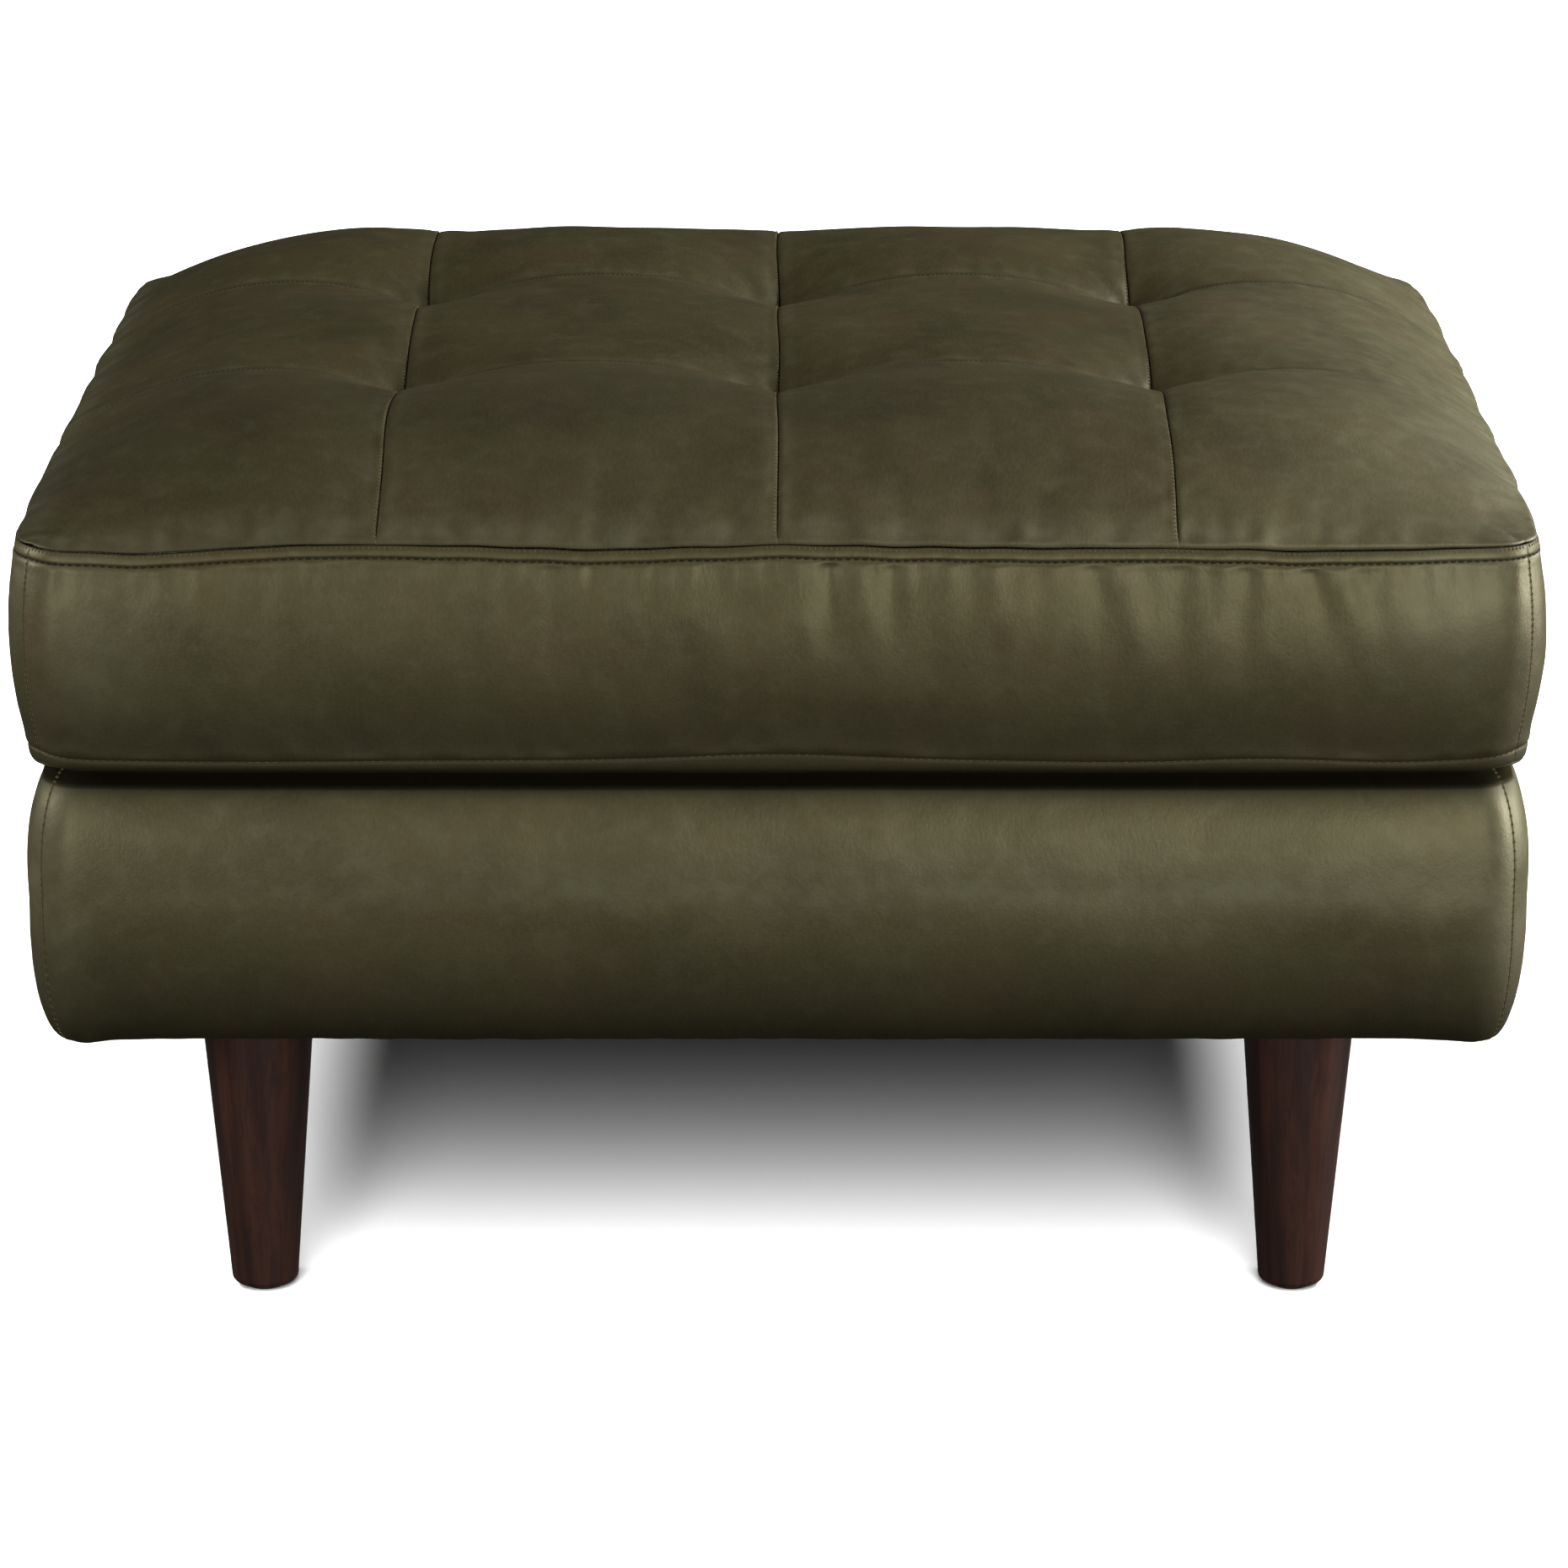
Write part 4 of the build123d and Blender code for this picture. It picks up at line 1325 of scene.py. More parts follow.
    def surface(self, side: Side, lines: tuple) -> Shape:
        """The finished wall: strip, top-stitch groove, gathers, lower seam, lip and corner seams.

        Args:
            side: Which side.
            lines: Grid lines along the side and along its section.

        Returns:
            The surface.
        """
        points, walk, rise, out = self.smooth_surface(side, lines)
        corner_gap, below_top = self.box.half_length(side) - np.abs(walk), self.height - rise
        over_lip, under_strip = rise - self.lip, self.height - self.strip - rise
        relief = np.where((over_lip > 0) & (under_strip > 0), self.relaxer.relief(self.panels()[side], lines), 0)
        relief += self.unevenness * unevenness(walk, rise, 51 + side.number, 0.12, 0.045)
        for gap, size, peak, draw in ((under_strip, 0.0004, 0.005, (60, 0.03, 0.010)),
                                      (over_lip, 0.0003, 0.006, (70, 0.05, 0.016))):
            wave = ripple(walk, draw[0] + side.number, *draw[1:])
            relief += size * wave * gather(np.clip(gap, 0, 1), peak, 0.02)
        relief += self.puckers(side, walk, under_strip)
        window = (1 - bell(corner_gap, 0.005)) * smooth_step(over_lip, 0, 0.005) * smooth_step(under_strip, 0, 0.003)
        strip_wave = 0.00012 * ripple(walk, 80 + side.number, 0.02, 0.008)
        strip_gap = (below_top - self.strip / 2 - 0.0004) / (self.strip / 2)
        shift = relief * window + (self.ridge + strip_wave) * np.clip(1 - strip_gap**2, 0, 1)
        shift += self.ridge * np.clip(1 - ((rise - 0.0032) / 0.0030) ** 2, 0, 1)
        groove = (0.0, self.groove_width, -self.groove)
        shift += bells(below_top - self.strip, (groove, (0.0028, 0.0018, self.ridge)))
        shift += bells(over_lip, (groove, (0.0035, 0.0026, self.ridge)))
        fade = smooth_step(rise, 0.0, 0.008) * smooth_step(below_top, 0.0, 0.004)
        shift -= self.corner_groove * fade * tuck(corner_gap, self.corner_groove_width)
        rolled = tuck(below_top, self.edge_roll)
        shift -= SEAM_TUCK_IN * rolled + self.under_tuck * tuck(rise, self.under_roll)
        points += out * shift[..., None]
        points[..., 2] += self.edge_lift * rolled
        # Dark seam lines, then painted shade: darker towards the bottom of the wall and on the lip under it.
        seam = np.maximum.reduce([
            0.8 * bell(below_top, 0.0005), 0.6 * bell(below_top - self.strip, 0.0009), 0.8 * bell(over_lip, 0.0007),
            0.45 * bell(corner_gap, 0.0006), 0.74 * (1 - smooth_step(rise, self.lip, 0.088)),
            0.7 * (1 - smooth_step(rise, 0.0, self.lip))])
        # Painted highlights: broad pale patches near both corners, stronger and higher at the right, where the lamps
        # reflect.
        left_corner_highlight = 0.8 * bell(corner_gap - 0.033, 0.028) * smooth_step(rise, 0.012, 0.045)
        right_corner_highlight = 1.5 * bell(corner_gap - 0.040, 0.036) * smooth_step(rise, 0.030, 0.095)
        lit_and_rubbed = np.where(walk < 0, left_corner_highlight, right_corner_highlight) * smooth_step(corner_gap, -0.006, 0.026)
        # Pale bands on the strip and just under the top-stitch: painted highlight as well as worn leather.
        wear = np.maximum.reduce([
            lit_and_rubbed, 0.20 * bell(below_top - 0.0035, 0.0018), 0.30 * bell(below_top - 0.0115, 0.006)])
        uv = np.stack([walk, arc_lengths(points, 1)], -1) + (1.9 + 0.9 * side.number, 2.3 + 0.37 * side.number)
        return Shape(points, uv, seam, wear)

    def stitch_rows(self) -> dict:
        """Threads of the edge seam, the top-stitch, the corner seams and the lip."""
        rises = {"edge_seam_thread": self.height - 0.0007, "top_stitch_thread": self.height - self.strip,
                 "lip_thread": self.lip - 0.0003}
        rows: dict = {name: [] for name in self.stitch_kinds}
        corner = self.stitch_kinds["corner_seam_thread"]
        for side in Side:
            half = self.box.half_length(side)
            for name, rise in rises.items():
                kind = self.stitch_kinds[name]
                lines = even_lines(-half + self.stitch_end, half - self.stitch_end, kind.pitch), rise + NEAR
                rows[name].append(self.stitch_row(side, lines, kind))
            for sign in (-1, 1):
                lines = sign * (half - STITCH_BESIDE) + NEAR, even_lines(0.010, self.height - 0.008, corner.pitch)
                rows["corner_seam_thread"].append(self.stitch_row(side, lines, corner))
        return rows


@dataclass
class BaseCover(Cover):
    """Four padded leather panels of the base, from the deck's border over the edge, down and under to the hem.

    A place along their section is 0 at the hem, 1 to 4 at the ends of its next parts, and 5 at the deck.
    """

    body: str = "base"
    share: float = 0.08
    step: float = 0.0030
    cloth_step: float = 0.0055
    box: RoundedBox = RoundedBox(SEAT_WIDTH - 2 * BASE_INSET, SEAT_DEPTH - 2 * BASE_INSET, 0.026)
    top_roll: float = 0.018
    top_roll_height: float = 0.055
    bottom_roll: float = 0.020
    bottom_roll_height: float = 0.056
    corner_fill: float = 0.008
    corner_reach: float = 0.035
    corner_sag: float = 0.0010
    swell: float = 0.0016
    swell_gap: float = 0.06
    unevenness: float = 0.0005
    pull: float = 0.0002
    relief_gap: float = 0.006
    corner_groove: float = 0.0003
    corner_groove_width: float = 0.0012
    end_fall: float = 0.0010
    section_lengths: tuple = (0.026, 0.0625, 0.031, 0.0605, 0.048)
    cloth_ends: tuple = (0.9, 4.1)
    deck_border: float = 0.066
    hem: float = 0.046
    flat_height: float = 0.231
    corner_stitch: Stitch = Stitch(0.0034, 0.0021, 0.00032)
    border_stitch: Stitch = Stitch(0.0045, 0.003, 0.00035)
    border_end: float = 0.008
    border_line: float = 4.88
    end_lines: tuple = (0.006, 0.016, 0.03, 0.05, 0.075)

    def panels(self) -> dict:
        """The panels' names by side."""
        return {side: "base_" + side.label for side in Side}

    def record(self, side: Side, shape: Shape) -> tuple:
        """A panel's CAD node, the piece it rests on, and its flat size."""
        flat = round(2 * self.box.half_length(side), 3), self.flat_height
        return "base_cover_" + side.label, "foam_base_" + side.label, flat

    def panel_lines(self, side: Side) -> tuple:
        """Grid lines along a side and along its section, crowded at the corners, the hem and the deck."""
        half, fine = self.box.half_length(side), np.array(self.end_lines)
        lines = np.unique(np.concatenate([self.section_lines(self.step), fine, 5 - fine]))
        return seam_lines(-half, half, self.step), lines

    def cloth_lines(self, side: Side) -> tuple:
        """Even grid lines of a panel without its hem and its border."""
        return self.box.walks(side, self.cloth_step), even_lines(*self.cloth_ends, 0.1)

    def section_lines(self, step: float) -> Grid:
        """Grid lines along the section, about step apart on each of its parts.

        Args:
            step: Spacing in metres.

        Returns:
            The grid lines.
        """
        parts = [k + even_lines(0, 1, step / length)[:-1] for k, length in enumerate(self.section_lengths)]
        return np.concatenate([*parts, [5.0]])

    def path(self, lines: Grid) -> tuple:
        """Section of the cover: hem, lower quarter ellipse, upright side, upper quarter ellipse, border.

        Args:
            lines: Places along the section.

        Returns:
            Inset and height in metres.
        """
        height = BASE_TOP - BASE_BOTTOM
        low_turn = np.clip(lines - 1, 0, 1) * math.pi / 2
        high_turn = np.clip(lines - 3, 0, 1) * math.pi / 2
        parts = [lines < 1, lines < 2, lines < 3, lines < 4]
        inset = np.select(
            parts, [self.hem + (self.bottom_roll - self.hem) * lines, self.bottom_roll * (1 - np.sin(low_turn)),
                    0 * lines, self.top_roll * (1 - np.cos(high_turn))],
            self.top_roll + (self.deck_border - self.top_roll) * (lines - 4))
        side = height - self.bottom_roll_height - self.top_roll_height
        rise = np.select(
            parts, [0 * lines, self.bottom_roll_height * (1 - np.cos(low_turn)),
                    self.bottom_roll_height + side * (lines - 2),
                    height - self.top_roll_height * (1 - np.sin(high_turn))], height)
        return inset, BASE_BOTTOM + rise

    def smooth_surface(self, side: Side, lines: tuple) -> tuple:
        """The cover before its details, swelled a little, and fuller and lower at its lower corners.

        Args:
            side: Which side.
            lines: Grid lines along the side and along its section.

        Returns:
            Points and the flat grid.
        """
        walk, line = np.meshgrid(*lines, indexing="ij")
        inset, z = self.path(line)
        corner_gap = self.box.half_length(side) - np.abs(walk)
        at_corner = bell(corner_gap, self.corner_reach)
        fuller = np.clip(line, 0, 1) * (1 - np.sin(np.clip(line - 1, 0, 1) * math.pi / 2))
        arched = np.sin(math.pi * np.clip((line - 1.1) / 2.8, 0, 1))
        swell = self.swell * arched * smooth_step(corner_gap, 0.0, self.swell_gap)
        x, y, _, _ = self.box.place(side, walk, inset - self.corner_fill * at_corner * fuller - swell)
        return np.stack([x, y, z - self.corner_sag * at_corner * bell(line - 1.4, 0.5)], -1), walk, line

    def surface(self, side: Side, lines: tuple) -> Shape:
        """The finished cover with its corner seams and a slightly uneven, padded face.

        Args:
            side: Which side.
            lines: Grid lines along the side and along its section.

        Returns:
            The surface.
        """
        points, walk, line = self.smooth_surface(side, lines)
        corner_gap, end = self.box.half_length(side) - np.abs(walk), np.minimum(line, 5 - line)
        on_side = smooth_step(line, 0.9, 1.5) * (1 - smooth_step(line, 3.6, 4.1))
        relief = self.relaxer.relief(self.panels()[side], (lines[0], np.clip(lines[1], *self.cloth_ends)))
        uneven = self.unevenness * unevenness(walk, line * 0.05, 95 + side.number, 0.22, 0.06)
        pulled = self.pull * ripple(walk, 110 + side.number, 0.05, 0.02) * bell(line - 1.15, 0.35)
        relief = (on_side * (relief + uneven) + pulled) * (1 - bell(corner_gap, self.relief_gap))
        relief -= self.corner_groove * tuck(corner_gap, self.corner_groove_width) * smooth_step(end, 0.0, 0.12)
        points += normals_of(points) * (relief - self.end_fall * tuck(end, 0.06))[..., None]
        # Dark corner seam and darker section ends, then painted shade: a painted shadow band on the roll under the
        # cushion that stays faint on the border, and darker towards the bottom and on the roll underneath.
        seam = np.maximum.reduce([
            0.5 * bell(corner_gap, 0.0006), 0.8 * bell(end, 0.03),
            smooth_step(line, 3.48, 3.70) * (1 - 0.75 * smooth_step(line, 3.82, 4.02)),
            0.84 * (1 - smooth_step(line, 1.2, 2.9)), 0.85 * (1 - smooth_step(line, 0.9, 1.5))])
        # Painted highlights: near the corners, and a band along the upper face that grows paler towards the right.
        wear = np.maximum(0.7 * bell(corner_gap - 0.012, 0.016) * smooth_step(line, 1.2, 2.2),
                          (0.75 + 0.45 * walk / 0.36) * bell(line - 2.90, 0.35))
        uv = np.stack([walk, arc_lengths(points, 1)], -1) + (6.1 + 0.8 * side.number, 0.3 + 0.43 * side.number)
        return Shape(points, uv, seam, np.clip(wear, 0, 1))

    def stitch_rows(self) -> dict:
        """Stitches beside the corner seams, and a row round the deck's border."""
        rows, lines = [], self.section_lines(self.corner_stitch.pitch)
        lines = lines[(lines > 0.5) & (lines < 4.6)]
        for side in Side:
            half = self.box.half_length(side)
            for sign in (-1, 1):
                rows.append(self.stitch_row(side, (sign * (half - STITCH_BESIDE) + NEAR, lines), self.corner_stitch))
            border = even_lines(-half + self.border_end, half - self.border_end, self.border_stitch.pitch)
            near = self.border_line + np.array([-0.01, 0, 0.01])
            rows.append(self.stitch_row(side, (border, near), self.border_stitch))
        return {"base_thread": rows}


# Filling


def flat_grid(half: tuple, steps: tuple) -> tuple:
    """An even grid on a rectangle.

    Args:
        half: Half the rectangle's sizes.
        steps: The grid's steps.

    Returns:
        X, Y and the distance to the edge.
    """
    x, y = np.meshgrid(*(even_lines(-size, size, step) for size, step in zip(half, steps)), indexing="ij")
    return x, y, np.minimum(half[0] - np.abs(x), half[1] - np.abs(y))


@dataclass
class Filling:
    """What the inner pieces have in common: each is made, given its finish and settled."""

    finishes: Finishes

    def piece(self, name: str, mesh: tuple, slot: str, body: str, node: str, fill: float = 0.0) -> bpy.types.Object:
        """Makes and settles one piece.

        Args:
            name: The piece's name.
            mesh: Points and faces.
            slot: The record's material slot.
            body: The body it rides on.
            node: The CAD node.
            fill: How much of it padding fills, 0 for a piece that isn't padded; not used.

        Returns:
            The new object.
        """
        obj = mesh_object(name, *mesh, self.finishes.slots[slot])
        settle(obj, body, node)
        return obj


@dataclass
class CushionInside(Filling):
    """Foam core, fibre topper, underside panel and ties of the cushion."""

    boxing: CushionBoxing
    top: TuftedTop
    core_bottom: float = 0.3054
    core_top: float = 0.4124
    skin: float = 0.0046
    panel_inset: float = 0.0099
    strand_radius: float = 0.00045
    lay_radius: float = 0.00042
    lay: float = 0.006

    def build(self) -> None:
        """Makes and settles every inner piece of the cushion."""
        self.core()
        self.topper()
        self.bottom_panel()
        self.ties()

    def core(self) -> None:
        """The foam block: its edges rounded, its wall swelled like the boxing, both faces fans round a middle point."""
        loops = []
        for side in Side:
            walks, rises = self.boxing.box.walks(side, 0.009)[:-1], even_lines(self.core_bottom, self.core_top, 0.009)
            walk, z = np.meshgrid(walks, rises, indexing="ij")
            end = np.minimum(z - self.core_bottom, self.core_top - z)
            inset = self.boxing.inset(z - CUSHION_BOTTOM) + self.skin + 0.004 * tuck(end, 0.010)
            x, y, _, _ = self.boxing.box.place(side, walk, inset)
            loops.append(np.stack([x, y, z], -1))
        wall = np.concatenate(loops)
        index = grid_index(*wall.shape[:2])
        ring = np.concatenate([index, index[:1]])
        middle = np.full(len(index), index.size)
        under = np.stack([middle, ring[1:, 0], ring[:-1, 0]], -1).tolist()
        over = np.stack([middle + 1, ring[:-1, -1], ring[1:, -1]], -1).tolist()
        points = np.concatenate([wall.reshape(-1, 3), [[0, 0, self.core_bottom], [0, 0, self.core_top]]])
        mesh = points, grid_faces(ring) + under + over
        self.piece("foam_core", mesh, "foam", "cushion", "cushion_core", 1.0)

    def topper(self) -> None:
        """The fibre layer: it follows the leather a skin below it, drawn in a little, and lies flat on the core."""
        columns = []
        for k in range(self.top.counts[0]):
            blocks = []
            for m in range(self.top.counts[1]):
                left, right, front, rear = self.top.bounds((k, m))
                lines = even_lines(left, right, 0.0065), even_lines(front, rear, 0.0065)
                blocks.append(self.top.surface((k, m), lines).points[int(k > 0):, int(m > 0):])
            columns.append(np.concatenate(blocks, 1))
        outer, edge = np.concatenate(columns, 0), self.core_top + 0.0006
        outer[..., 2] = np.maximum(outer[..., 2] - self.skin - 0.0012, edge)
        outer[..., :2] *= 1 - 0.008 / 0.37
        inner = outer.copy()
        inner[..., 2] = edge - 0.0003
        self.piece("wadding_topper", slab(outer, inner), "fibre_wadding", "cushion", "cushion_topper", 0.8)

    def bottom_panel(self) -> None:
        """The leather panel that closes the cushion underneath, rolled up a little at its edge."""
        half = SEAT_WIDTH / 2 - self.panel_inset, SEAT_DEPTH / 2 - self.panel_inset
        rim = 0.0008
        lines = [np.concatenate([[-size], even_lines(rim - size, size - rim, 0.007), [size]]) for size in half]
        x, y = np.meshgrid(*lines, indexing="ij")
        edge = np.minimum(half[0] - np.abs(x), half[1] - np.abs(y))[:, ::-1]
        x, y = round_corners(x, y, *half, CUSHION_CORNER - CORNER_TUCK * self.panel_inset)
        x, y = x[:, ::-1], y[:, ::-1]
        z = CUSHION_BOTTOM + 0.0002 + 0.0009 * tuck(edge, 0.004)
        z = z + 0.00025 * (1 + unevenness(x, y, 91, 0.12, 0.04)) * smooth_step(edge, 0, 0.02)
        points = np.stack([x, y, z], -1)
        shape = Shape(points, points[..., :2] + 5.0, 0.8 * bell(edge, 0.003), 0.3 * bell(edge - 0.006, 0.003))
        obj = shape.piece("leather_bottom_panel", self.finishes)
        settle(obj, "cushion", "cushion_bottom_panel")

    def ties(self) -> None:
        """Six laid twine ties: two strands round each other, as two tubes along helices."""
        z = even_lines(0.3074, SEAM_Z + TUFT_HEIGHT - self.top.tuft_dip - 0.003, 0.0012)
        around = np.arange(6)[:, None] * math.pi / 3
        index = grid_index(6, len(z))
        faces = grid_faces(np.concatenate([index, index[:1]])) + [index[::-1, 0].tolist(), index[:, -1].tolist()]
        parts = []
        for _, _, at_x, at_y in self.top.tufts():
            for phase in (0.0, math.pi):
                turn = 2 * math.pi * z / self.lay + phase
                x = at_x + self.lay_radius * np.cos(turn) + self.strand_radius * np.cos(around)
                y = at_y + self.lay_radius * np.sin(turn) + self.strand_radius * np.sin(around)
                parts.append((np.stack([x, y, np.broadcast_to(z, x.shape)], -1), faces))
        self.piece("twine_tuft_ties", joined(parts), "tuft_twine", "cushion", "tuft_ties")


@dataclass
class BaseInside(Filling):
    """Pads, deck, dust cover, webbing and tapes of the base."""

    cover: BaseCover
    frame_size: tuple = (0.676, 0.554)
    frame_bottom: float = 0.1613
    pad_bottom: float = 0.2705
    deck_corner: float = 0.030
    skin: float = 0.0050
    clearance: float = 0.0003
    dust_size: tuple = (0.6514, 0.5294)
    dust_height: float = 0.1612
    strap_width: float = 0.050
    tape_size: tuple = (0.025, 0.300)
    tape_place: float = 0.242

    def build(self) -> None:
        """Makes and settles every soft piece inside the base, and the cushion's half of the tapes."""
        for side in Side:
            self.side_pad(side)
        self.deck_pad()
        self.deck_cloth()
        self.dust_cover()
        self.webbing()
        self.tape("hook_strips", "hook_tape", "base", BASE_TOP)
        self.tape("loop_strips", "loop_tape", "cushion", CUSHION_BOTTOM - 0.001)

    def side_pad(self, side: Side) -> None:
        """One side's foam: its outer face follows the cover a skin inside it, its inner face lies on the rail.

        Args:
            side: Which side.
        """
        lines = self.cover.box.walks(side, 0.010), even_lines(1.1, 3.4, 0.09)
        points = self.cover.smooth_surface(side, lines)[0]
        outer = points - normals_of(points) * self.skin
        outer[..., 2] = np.clip(outer[..., 2], self.frame_bottom, self.pad_bottom - self.clearance)
        reach, out_half = (size / 2 + self.clearance for size in self.frame_size[:: 1 if side.is_long else -1])
        (ax, ay), (ox, oy) = side.value
        along = np.clip(outer[..., 0] * ax + outer[..., 1] * ay, -reach, reach)
        out = np.minimum(out_half, outer[..., 0] * ox + outer[..., 1] * oy - 0.004)
        inner = np.stack([along * ax + out * ox, along * ay + out * oy, outer[..., 2]], -1)
        self.piece("foam_base_" + side.label, slab(outer, inner), "foam", "base", "base_pad_" + side.label, 1.0)

    def deck_pad(self) -> None:
        """The foam slab over the webbing, its edges rolled over the rails a skin inside the cover."""
        inset = BASE_INSET + self.skin + 0.003
        half = SEAT_WIDTH / 2 - inset, SEAT_DEPTH / 2 - inset
        x, y, edge = flat_grid(half, (0.011, 0.011))
        x, y = round_corners(x, y, *half, self.deck_corner)
        fall = self.cover.top_roll_height * tuck(edge + 0.001, self.cover.top_roll)
        outer = np.stack([x, y, np.maximum(BASE_TOP - self.skin - fall, self.pad_bottom + 0.001)], -1)
        inner = np.stack([x, y, np.full_like(x, self.pad_bottom)], -1)
        self.piece("foam_deck_pad", slab(outer, inner), "foam", "base", "deck_pad", 1.0)

    def deck_cloth(self) -> None:
        """The cloth let in on the deck, dished a little where the cushion sits."""
        inset = BASE_INSET + self.cover.deck_border + 0.0002
        x, y, edge = flat_grid((SEAT_WIDTH / 2 - inset, SEAT_DEPTH / 2 - inset), (0.008, 0.008))
        z = BASE_TOP - 0.0001 - 0.0010 * smooth_step(edge, 0.0, 0.12) + 0.0002 * unevenness(x, y, 97, 0.15, 0.05)
        mesh = np.stack([x, y, np.minimum(z, BASE_TOP)], -1), grid_faces(grid_index(*x.shape))
        obj = self.piece("woven_deck_cloth", mesh, "deck_cloth", "base", "deck_cloth")
        thicken(obj, 0.0007)

    def dust_cover(self) -> None:
        """The thin sheet under the frame, sagging a little between its staples."""
        x, y, edge = flat_grid((self.dust_size[0] / 2, self.dust_size[1] / 2), (0.010, 0.010))
        z = self.dust_height - 0.0008 * smooth_step(edge, 0.02, 0.14) + 0.0002 * unevenness(x, y, 98, 0.10, 0.04)
        mesh = np.stack([x, y, z], -1), grid_faces(grid_index(*x.shape))
        obj = self.piece("dust_sheet", mesh, "dust_cloth", "base", "dust_cover")
        thicken(obj, 0.0004)

    def webbing(self) -> None:
        """Woven elastic straps over the rails: the long ones pass under the cross ones, bulged along their middles."""
        sets = (
            ("straps_long", "webbing_long", 5, 0.666, 0.514, 1, 0.2681),
            ("straps_cross", "webbing_cross", 6, 0.544, 0.636, -1, 0.2697),
        )
        for name, node, count, length, spread, turn, height in sets:
            parts = []
            for k in range(count):
                along, across, _ = flat_grid((length / 2, self.strap_width / 2), (0.006, 0.005))
                span = np.clip((length / 2 - np.abs(along)) / 0.04, 0, 1)
                z = height - 0.0004 * span + 0.0002 * ripple(along, 120 + k, 0.1, 0.04)
                bulge = 0.00025 * np.cos(2 * math.pi * across / self.strap_width)
                flat = (along, across + (k - (count - 1) / 2) * spread / count)[::turn]
                upper, lower = np.stack([*flat, z + 0.0006 + bulge], -1), np.stack([*flat, z - 0.0006], -1)
                parts.append(slab(upper[::turn], lower[::turn]))
            self.piece(name, joined(parts), "elastic_webbing", "base", node)

    def tape(self, name: str, node: str, body: str, bottom: float) -> None:
        """Two strips of hook or loop tape with a sewn edge.

        Args:
            name: The piece's name.
            node: The CAD node.
            body: The body it rides on.
            bottom: Height of its underside.
        """
        across, along, edge = flat_grid((self.tape_size[0] / 2, self.tape_size[1] / 2), (0.0025, 0.004))
        parts = []
        for x in (across - self.tape_place, across + self.tape_place):
            upper = np.stack([x, along, bottom + 0.00095 - 0.0004 * np.exp(-edge / 0.001)], -1)
            parts.append(slab(upper, np.stack([x, along, np.full_like(along, bottom + 0.00005)], -1)))
        self.piece(name, joined(parts), "hook_and_loop", body, node)


class CarriedParts:
    """CAD nodes whose shape is right, given their finishes."""

    corners = ("front_left", "front_right", "rear_left", "rear_right")
    hardwood = (*(f"frame_{rail}_rail" for rail in ("front", "rear", "left", "right")), "frame_centre_stretcher",
                *(f"corner_block_{corner}" for corner in corners))
    steel = ("frame_screws", "leg_bolts", "leg_tee_nuts")
    walnut = ((0.058, 0.021, 0.0125), (0.016, 0.0068, 0.0045))

    def dress(self, finishes: Finishes) -> None:
        """Gives every kept node its material; each leg's grain runs through its own middle.

        Args:
            finishes: The materials.
        """
        slots = {name: "frame_hardwood" for name in self.hardwood} | {name: "zinc_steel" for name in self.steel}
        slots |= {f"glide_{corner}": "glide_plastic" for corner in self.corners} | {"tuft_washers": "washer_plastic"}
        for name, slot in slots.items():
            self.paint(name, finishes.slots[slot])
        for corner in self.corners:
            low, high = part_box("leg_" + corner)
            wood = Wood("dark_walnut_" + corner, *self.walnut, tuple((low + high) / 2), roughness=0.36, rings=210.0)
            self.paint("leg_" + corner, wood.material())

    @staticmethod
    def paint(name: str, material: bpy.types.Material) -> None:
        """Puts one material on a CAD node."""
        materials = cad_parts[name].data.materials
        materials.clear()
        materials.append(material)


# Studio


@dataclass(frozen=True)
class Lamp:
    """A rectangular softbox, or a sun where it has a spread in degrees, on a circle round the object.

    The turn is its angle round the object, 0 in front and 90 at the right, and the rise its angle above level.
    """

    name: str
    turn: float
    rise: float
    power: float
    distance: float = 3.0
    size: tuple = ()
    spread: float = 0.0

    def hang(self, aim: tuple, receivers: bpy.types.Collection) -> None:
        """Makes the light and places it, facing what it is aimed at.

        Args:
            aim: The point that it faces.
            receivers: What the light reaches.
        """
        data = bpy.data.lights.new(self.name, "AREA" if self.size else "SUN")
        data.energy = self.power
        if self.size:
            data.shape = "RECTANGLE"
            data.size, data.size_y = self.size
        else:
            data.angle = math.radians(self.spread)
        light = bpy.data.objects.new(self.name, data)
        bpy.context.scene.collection.objects.link(light)
        turn, rise = math.radians(self.turn), math.radians(self.rise)
        away = Vector((math.sin(turn) * math.cos(rise), -math.cos(turn) * math.cos(rise), math.sin(rise)))
        light.location = Vector(aim) + self.distance * away
        light.rotation_euler = (-away).to_track_quat("-Z", "Y").to_euler()
        light.light_linking.receiver_collection = receivers


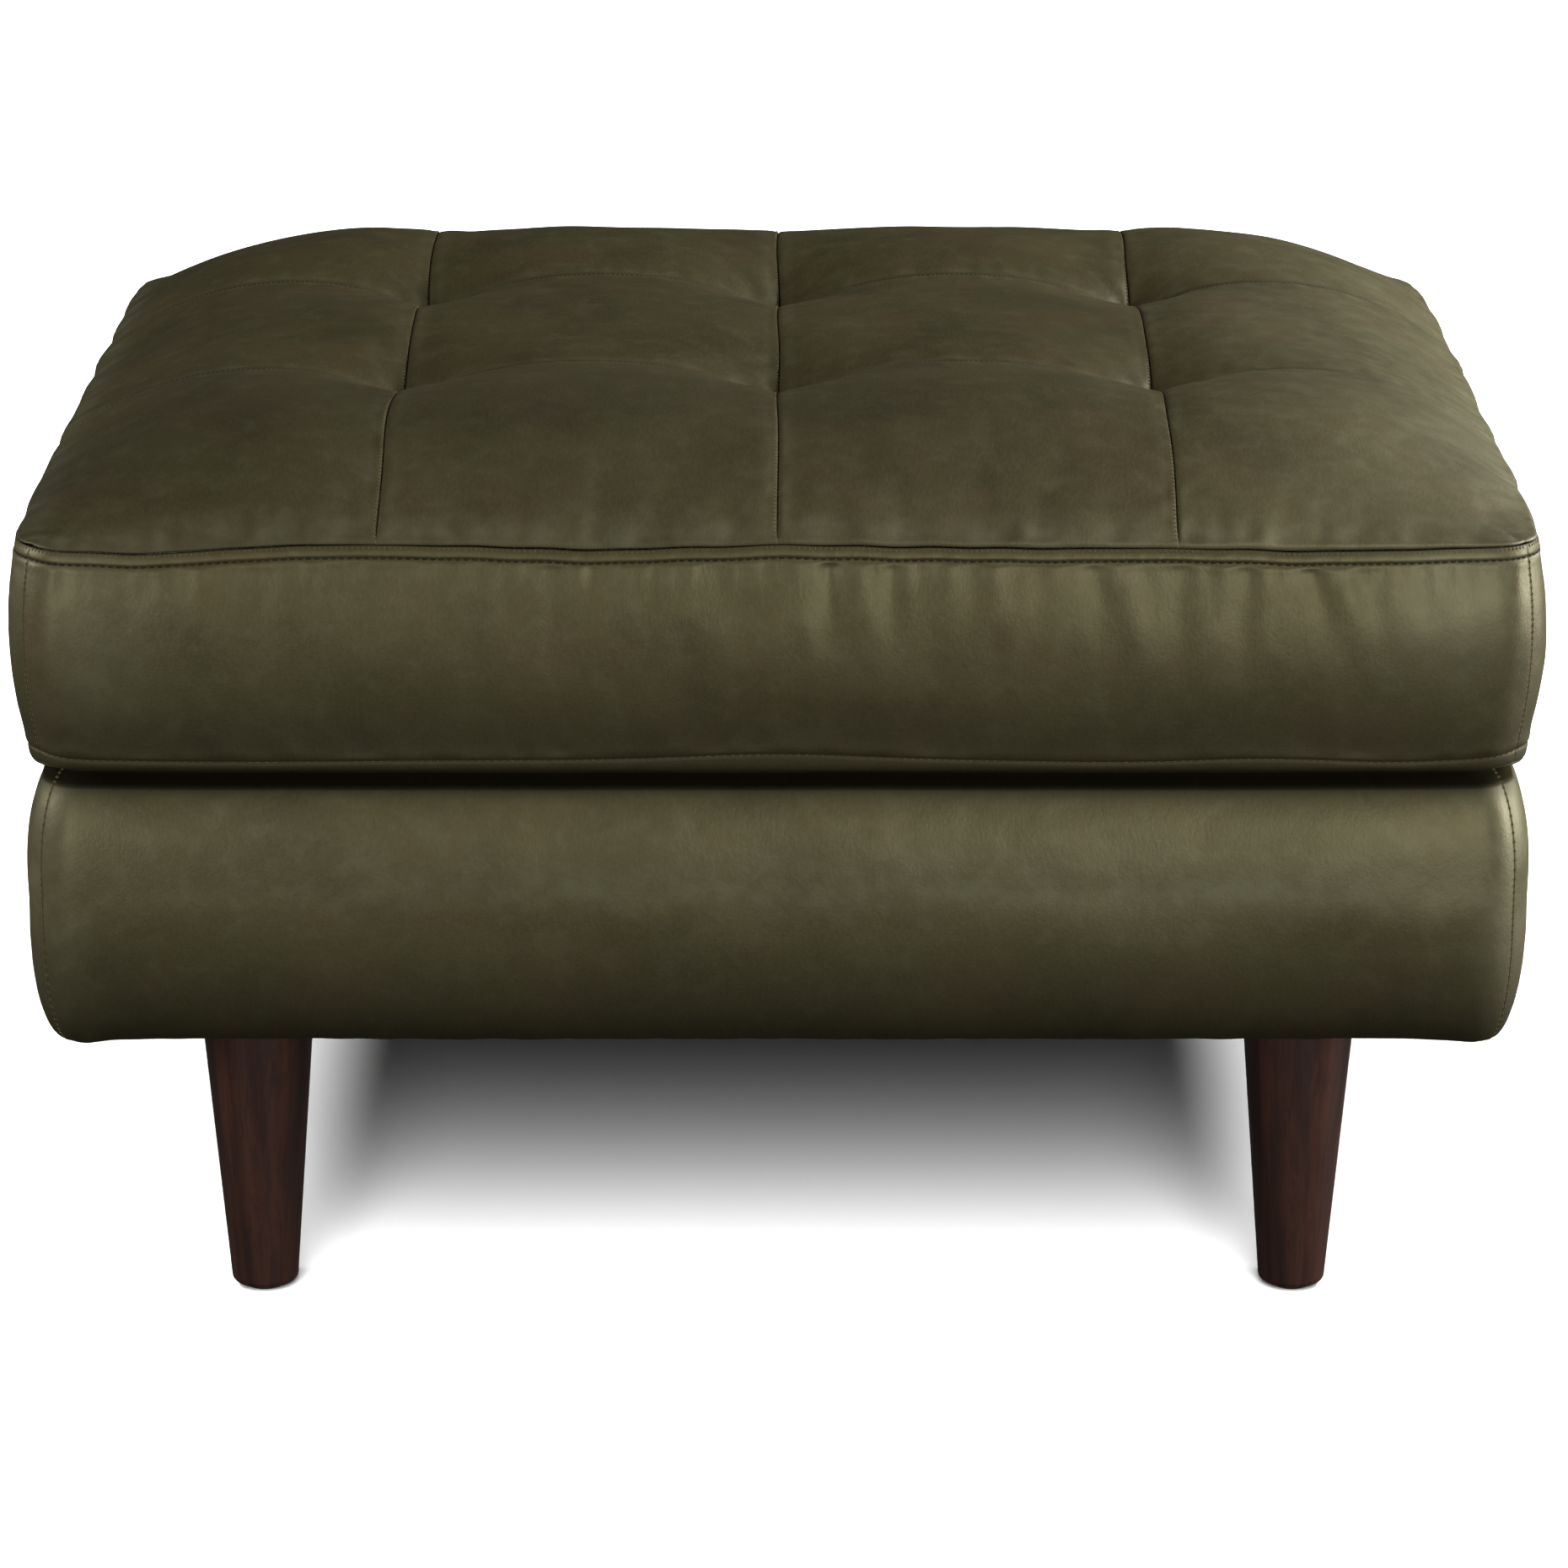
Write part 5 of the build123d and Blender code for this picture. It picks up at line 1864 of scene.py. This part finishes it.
@dataclass(frozen=True)
class Studio:
    """Floor, lights and camera."""

    camera_place: tuple = (0.003, -2.951, 1.1323)
    camera_pitch: float = 17.54
    lens: float = 130.6
    floor_size: float = 40.0
    aim: tuple = (0.0, -0.1, 0.3)
    backdrop: float = 1.05
    ambient: float = 0.04
    softboxes: tuple = (
        Lamp("right", 85, 5, 54.0, 2.4, (0.8, 0.8)),
        Lamp("right_behind", 110, 25, 70.0, 2.4, (0.8, 0.8)),
        Lamp("left", -85, 20, 35.0, 2.4, (0.8, 1.0)),
        Lamp("front_right", 18, 4, 29.0, 2.8, (0.35, 0.7)),
        Lamp("right_high", 50, 60, 24.0, 2.4, (0.8, 0.8)),
        Lamp("front_left", -30, 4, 17.0, 2.6, (0.35, 0.7)),
    )
    rear_light: Lamp = Lamp("behind", 170, 22, 26.0, 2.4, (1.2, 0.8))
    floor_suns: tuple = (
        Lamp("floor_front", 0, 35, 7.4, spread=34),
        Lamp("floor_left", -90, 58, 4.3, spread=16),
        Lamp("floor_right", 90, 58, 4.3, spread=16),
    )

    def build(self) -> None:
        """Makes the floor, the lights, the world and the camera."""
        scene = bpy.context.scene
        scene.view_settings.view_transform = "Standard"
        size = self.floor_size / 2
        corners = np.array([[-size, -size, 0], [size, -size, 0], [size, size, 0], [-size, size, 0]])
        desk = Desk("pale_floor")
        tone = desk.mix(desk.noise(desk.object_place(), 3.0, 3.0), (0.80, 0.80, 0.80), (0.82, 0.82, 0.82))
        floor = mesh_object("floor", corners, [[0, 1, 2, 3]], desk.finish(tone, 0.9, Specular_IOR_Level=0.1))
        floor.visible_diffuse = False
        floor.visible_glossy = False
        self.light_room(scene)
        self.hang_lamps(self.softboxes, "all_but_floor", [floor], "EXCLUDE")
        self.hang_lamps(self.floor_suns, "only_floor", [floor], "INCLUDE")
        data = bpy.data.cameras.new("camera")
        data.lens = self.lens
        data.sensor_width = 36.0
        camera = bpy.data.objects.new("camera", data)
        scene.collection.objects.link(camera)
        camera.location = self.camera_place
        camera.rotation_euler = (math.radians(90 - self.camera_pitch), 0, 0)
        scene.camera = camera

    def hang_lamps(self, lamps: tuple, name: str, pieces: list, state: str) -> None:
        """Hangs lamps whose light reaches these pieces only, or everything but them.

        Args:
            lamps: The lamps.
            name: Name of the collection that says what they reach.
            pieces: The pieces.
            state: INCLUDE or EXCLUDE.
        """
        group = bpy.data.collections.new(name)
        for number, piece in enumerate(pieces):
            group.objects.link(piece)
            group.collection_objects[number].light_linking.link_state = state
        for lamp in lamps:
            lamp.hang(self.aim, group)

    def light_rear(self, pieces: list) -> None:
        """A softbox behind the ottoman that reaches its rear covers alone, so the front keeps its dark upper edge."""
        self.hang_lamps((self.rear_light,), "rear_pieces", pieces, "INCLUDE")

    def light_room(self, scene: bpy.types.Scene) -> None:
        """A white backdrop for the camera, and a dim even room for every other ray.

        Args:
            scene: The scene.
        """
        world = scene.world or bpy.data.worlds.new("studio")
        scene.world = world
        world.use_nodes = True
        tree = world.node_tree
        tree.nodes.clear()
        sources = [tree.nodes.new("ShaderNodeLightPath").outputs["Is Camera Ray"]]
        for strength in (self.ambient, self.backdrop):
            shade = tree.nodes.new("ShaderNodeBackground")
            shade.inputs["Color"].default_value = (1, 1, 1, 1)
            shade.inputs["Strength"].default_value = strength
            sources.append(shade.outputs[0])
        both = tree.nodes.new("ShaderNodeMixShader")
        for socket, source in zip(both.inputs, sources):
            tree.links.new(source, socket)
        tree.links.new(both.outputs[0], tree.nodes.new("ShaderNodeOutputWorld").inputs["Surface"])


def build_threads(cover: Cover, finishes: Finishes) -> None:
    """Joins a cover's rows of stitches into one piece for each kind of seam, darker at the top-stitch.

    Args:
        cover: The cover.
        finishes: The materials.
    """
    for name, rows in cover.stitch_rows().items():
        points, faces = joined(rows)
        slot = "dark_thread" if name == "top_stitch_thread" else "thread"
        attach(mesh_object(name, points, faces, finishes.slots[slot]), cover.body)
        LOG.info("%s: %d stitches", name, len(points) // 20)


def main() -> None:
    """Builds the ottoman in order: studio, finishes, cushion, base, frame, threads."""
    logging.basicConfig(level=logging.INFO, format="%(message)s")
    studio = Studio()
    studio.build()
    finishes, relaxer = Finishes(), ClothRelaxer()
    top, boxing, base = (kind(finishes, relaxer) for kind in (TuftedTop, CushionBoxing, BaseCover))
    for cover in (top, boxing, base):
        cover.add_cloth()
    relaxer.run()
    CushionInside(finishes, boxing, top).build()
    top.build()
    sides = boxing.build()
    BaseInside(finishes, base).build()
    sides += base.build()
    studio.light_rear([side for side in sides if side.name.endswith("_rear")])
    CarriedParts().dress(finishes)
    for cover in (top, boxing, base):
        build_threads(cover, finishes)


if __name__ == "__main__":
    main()
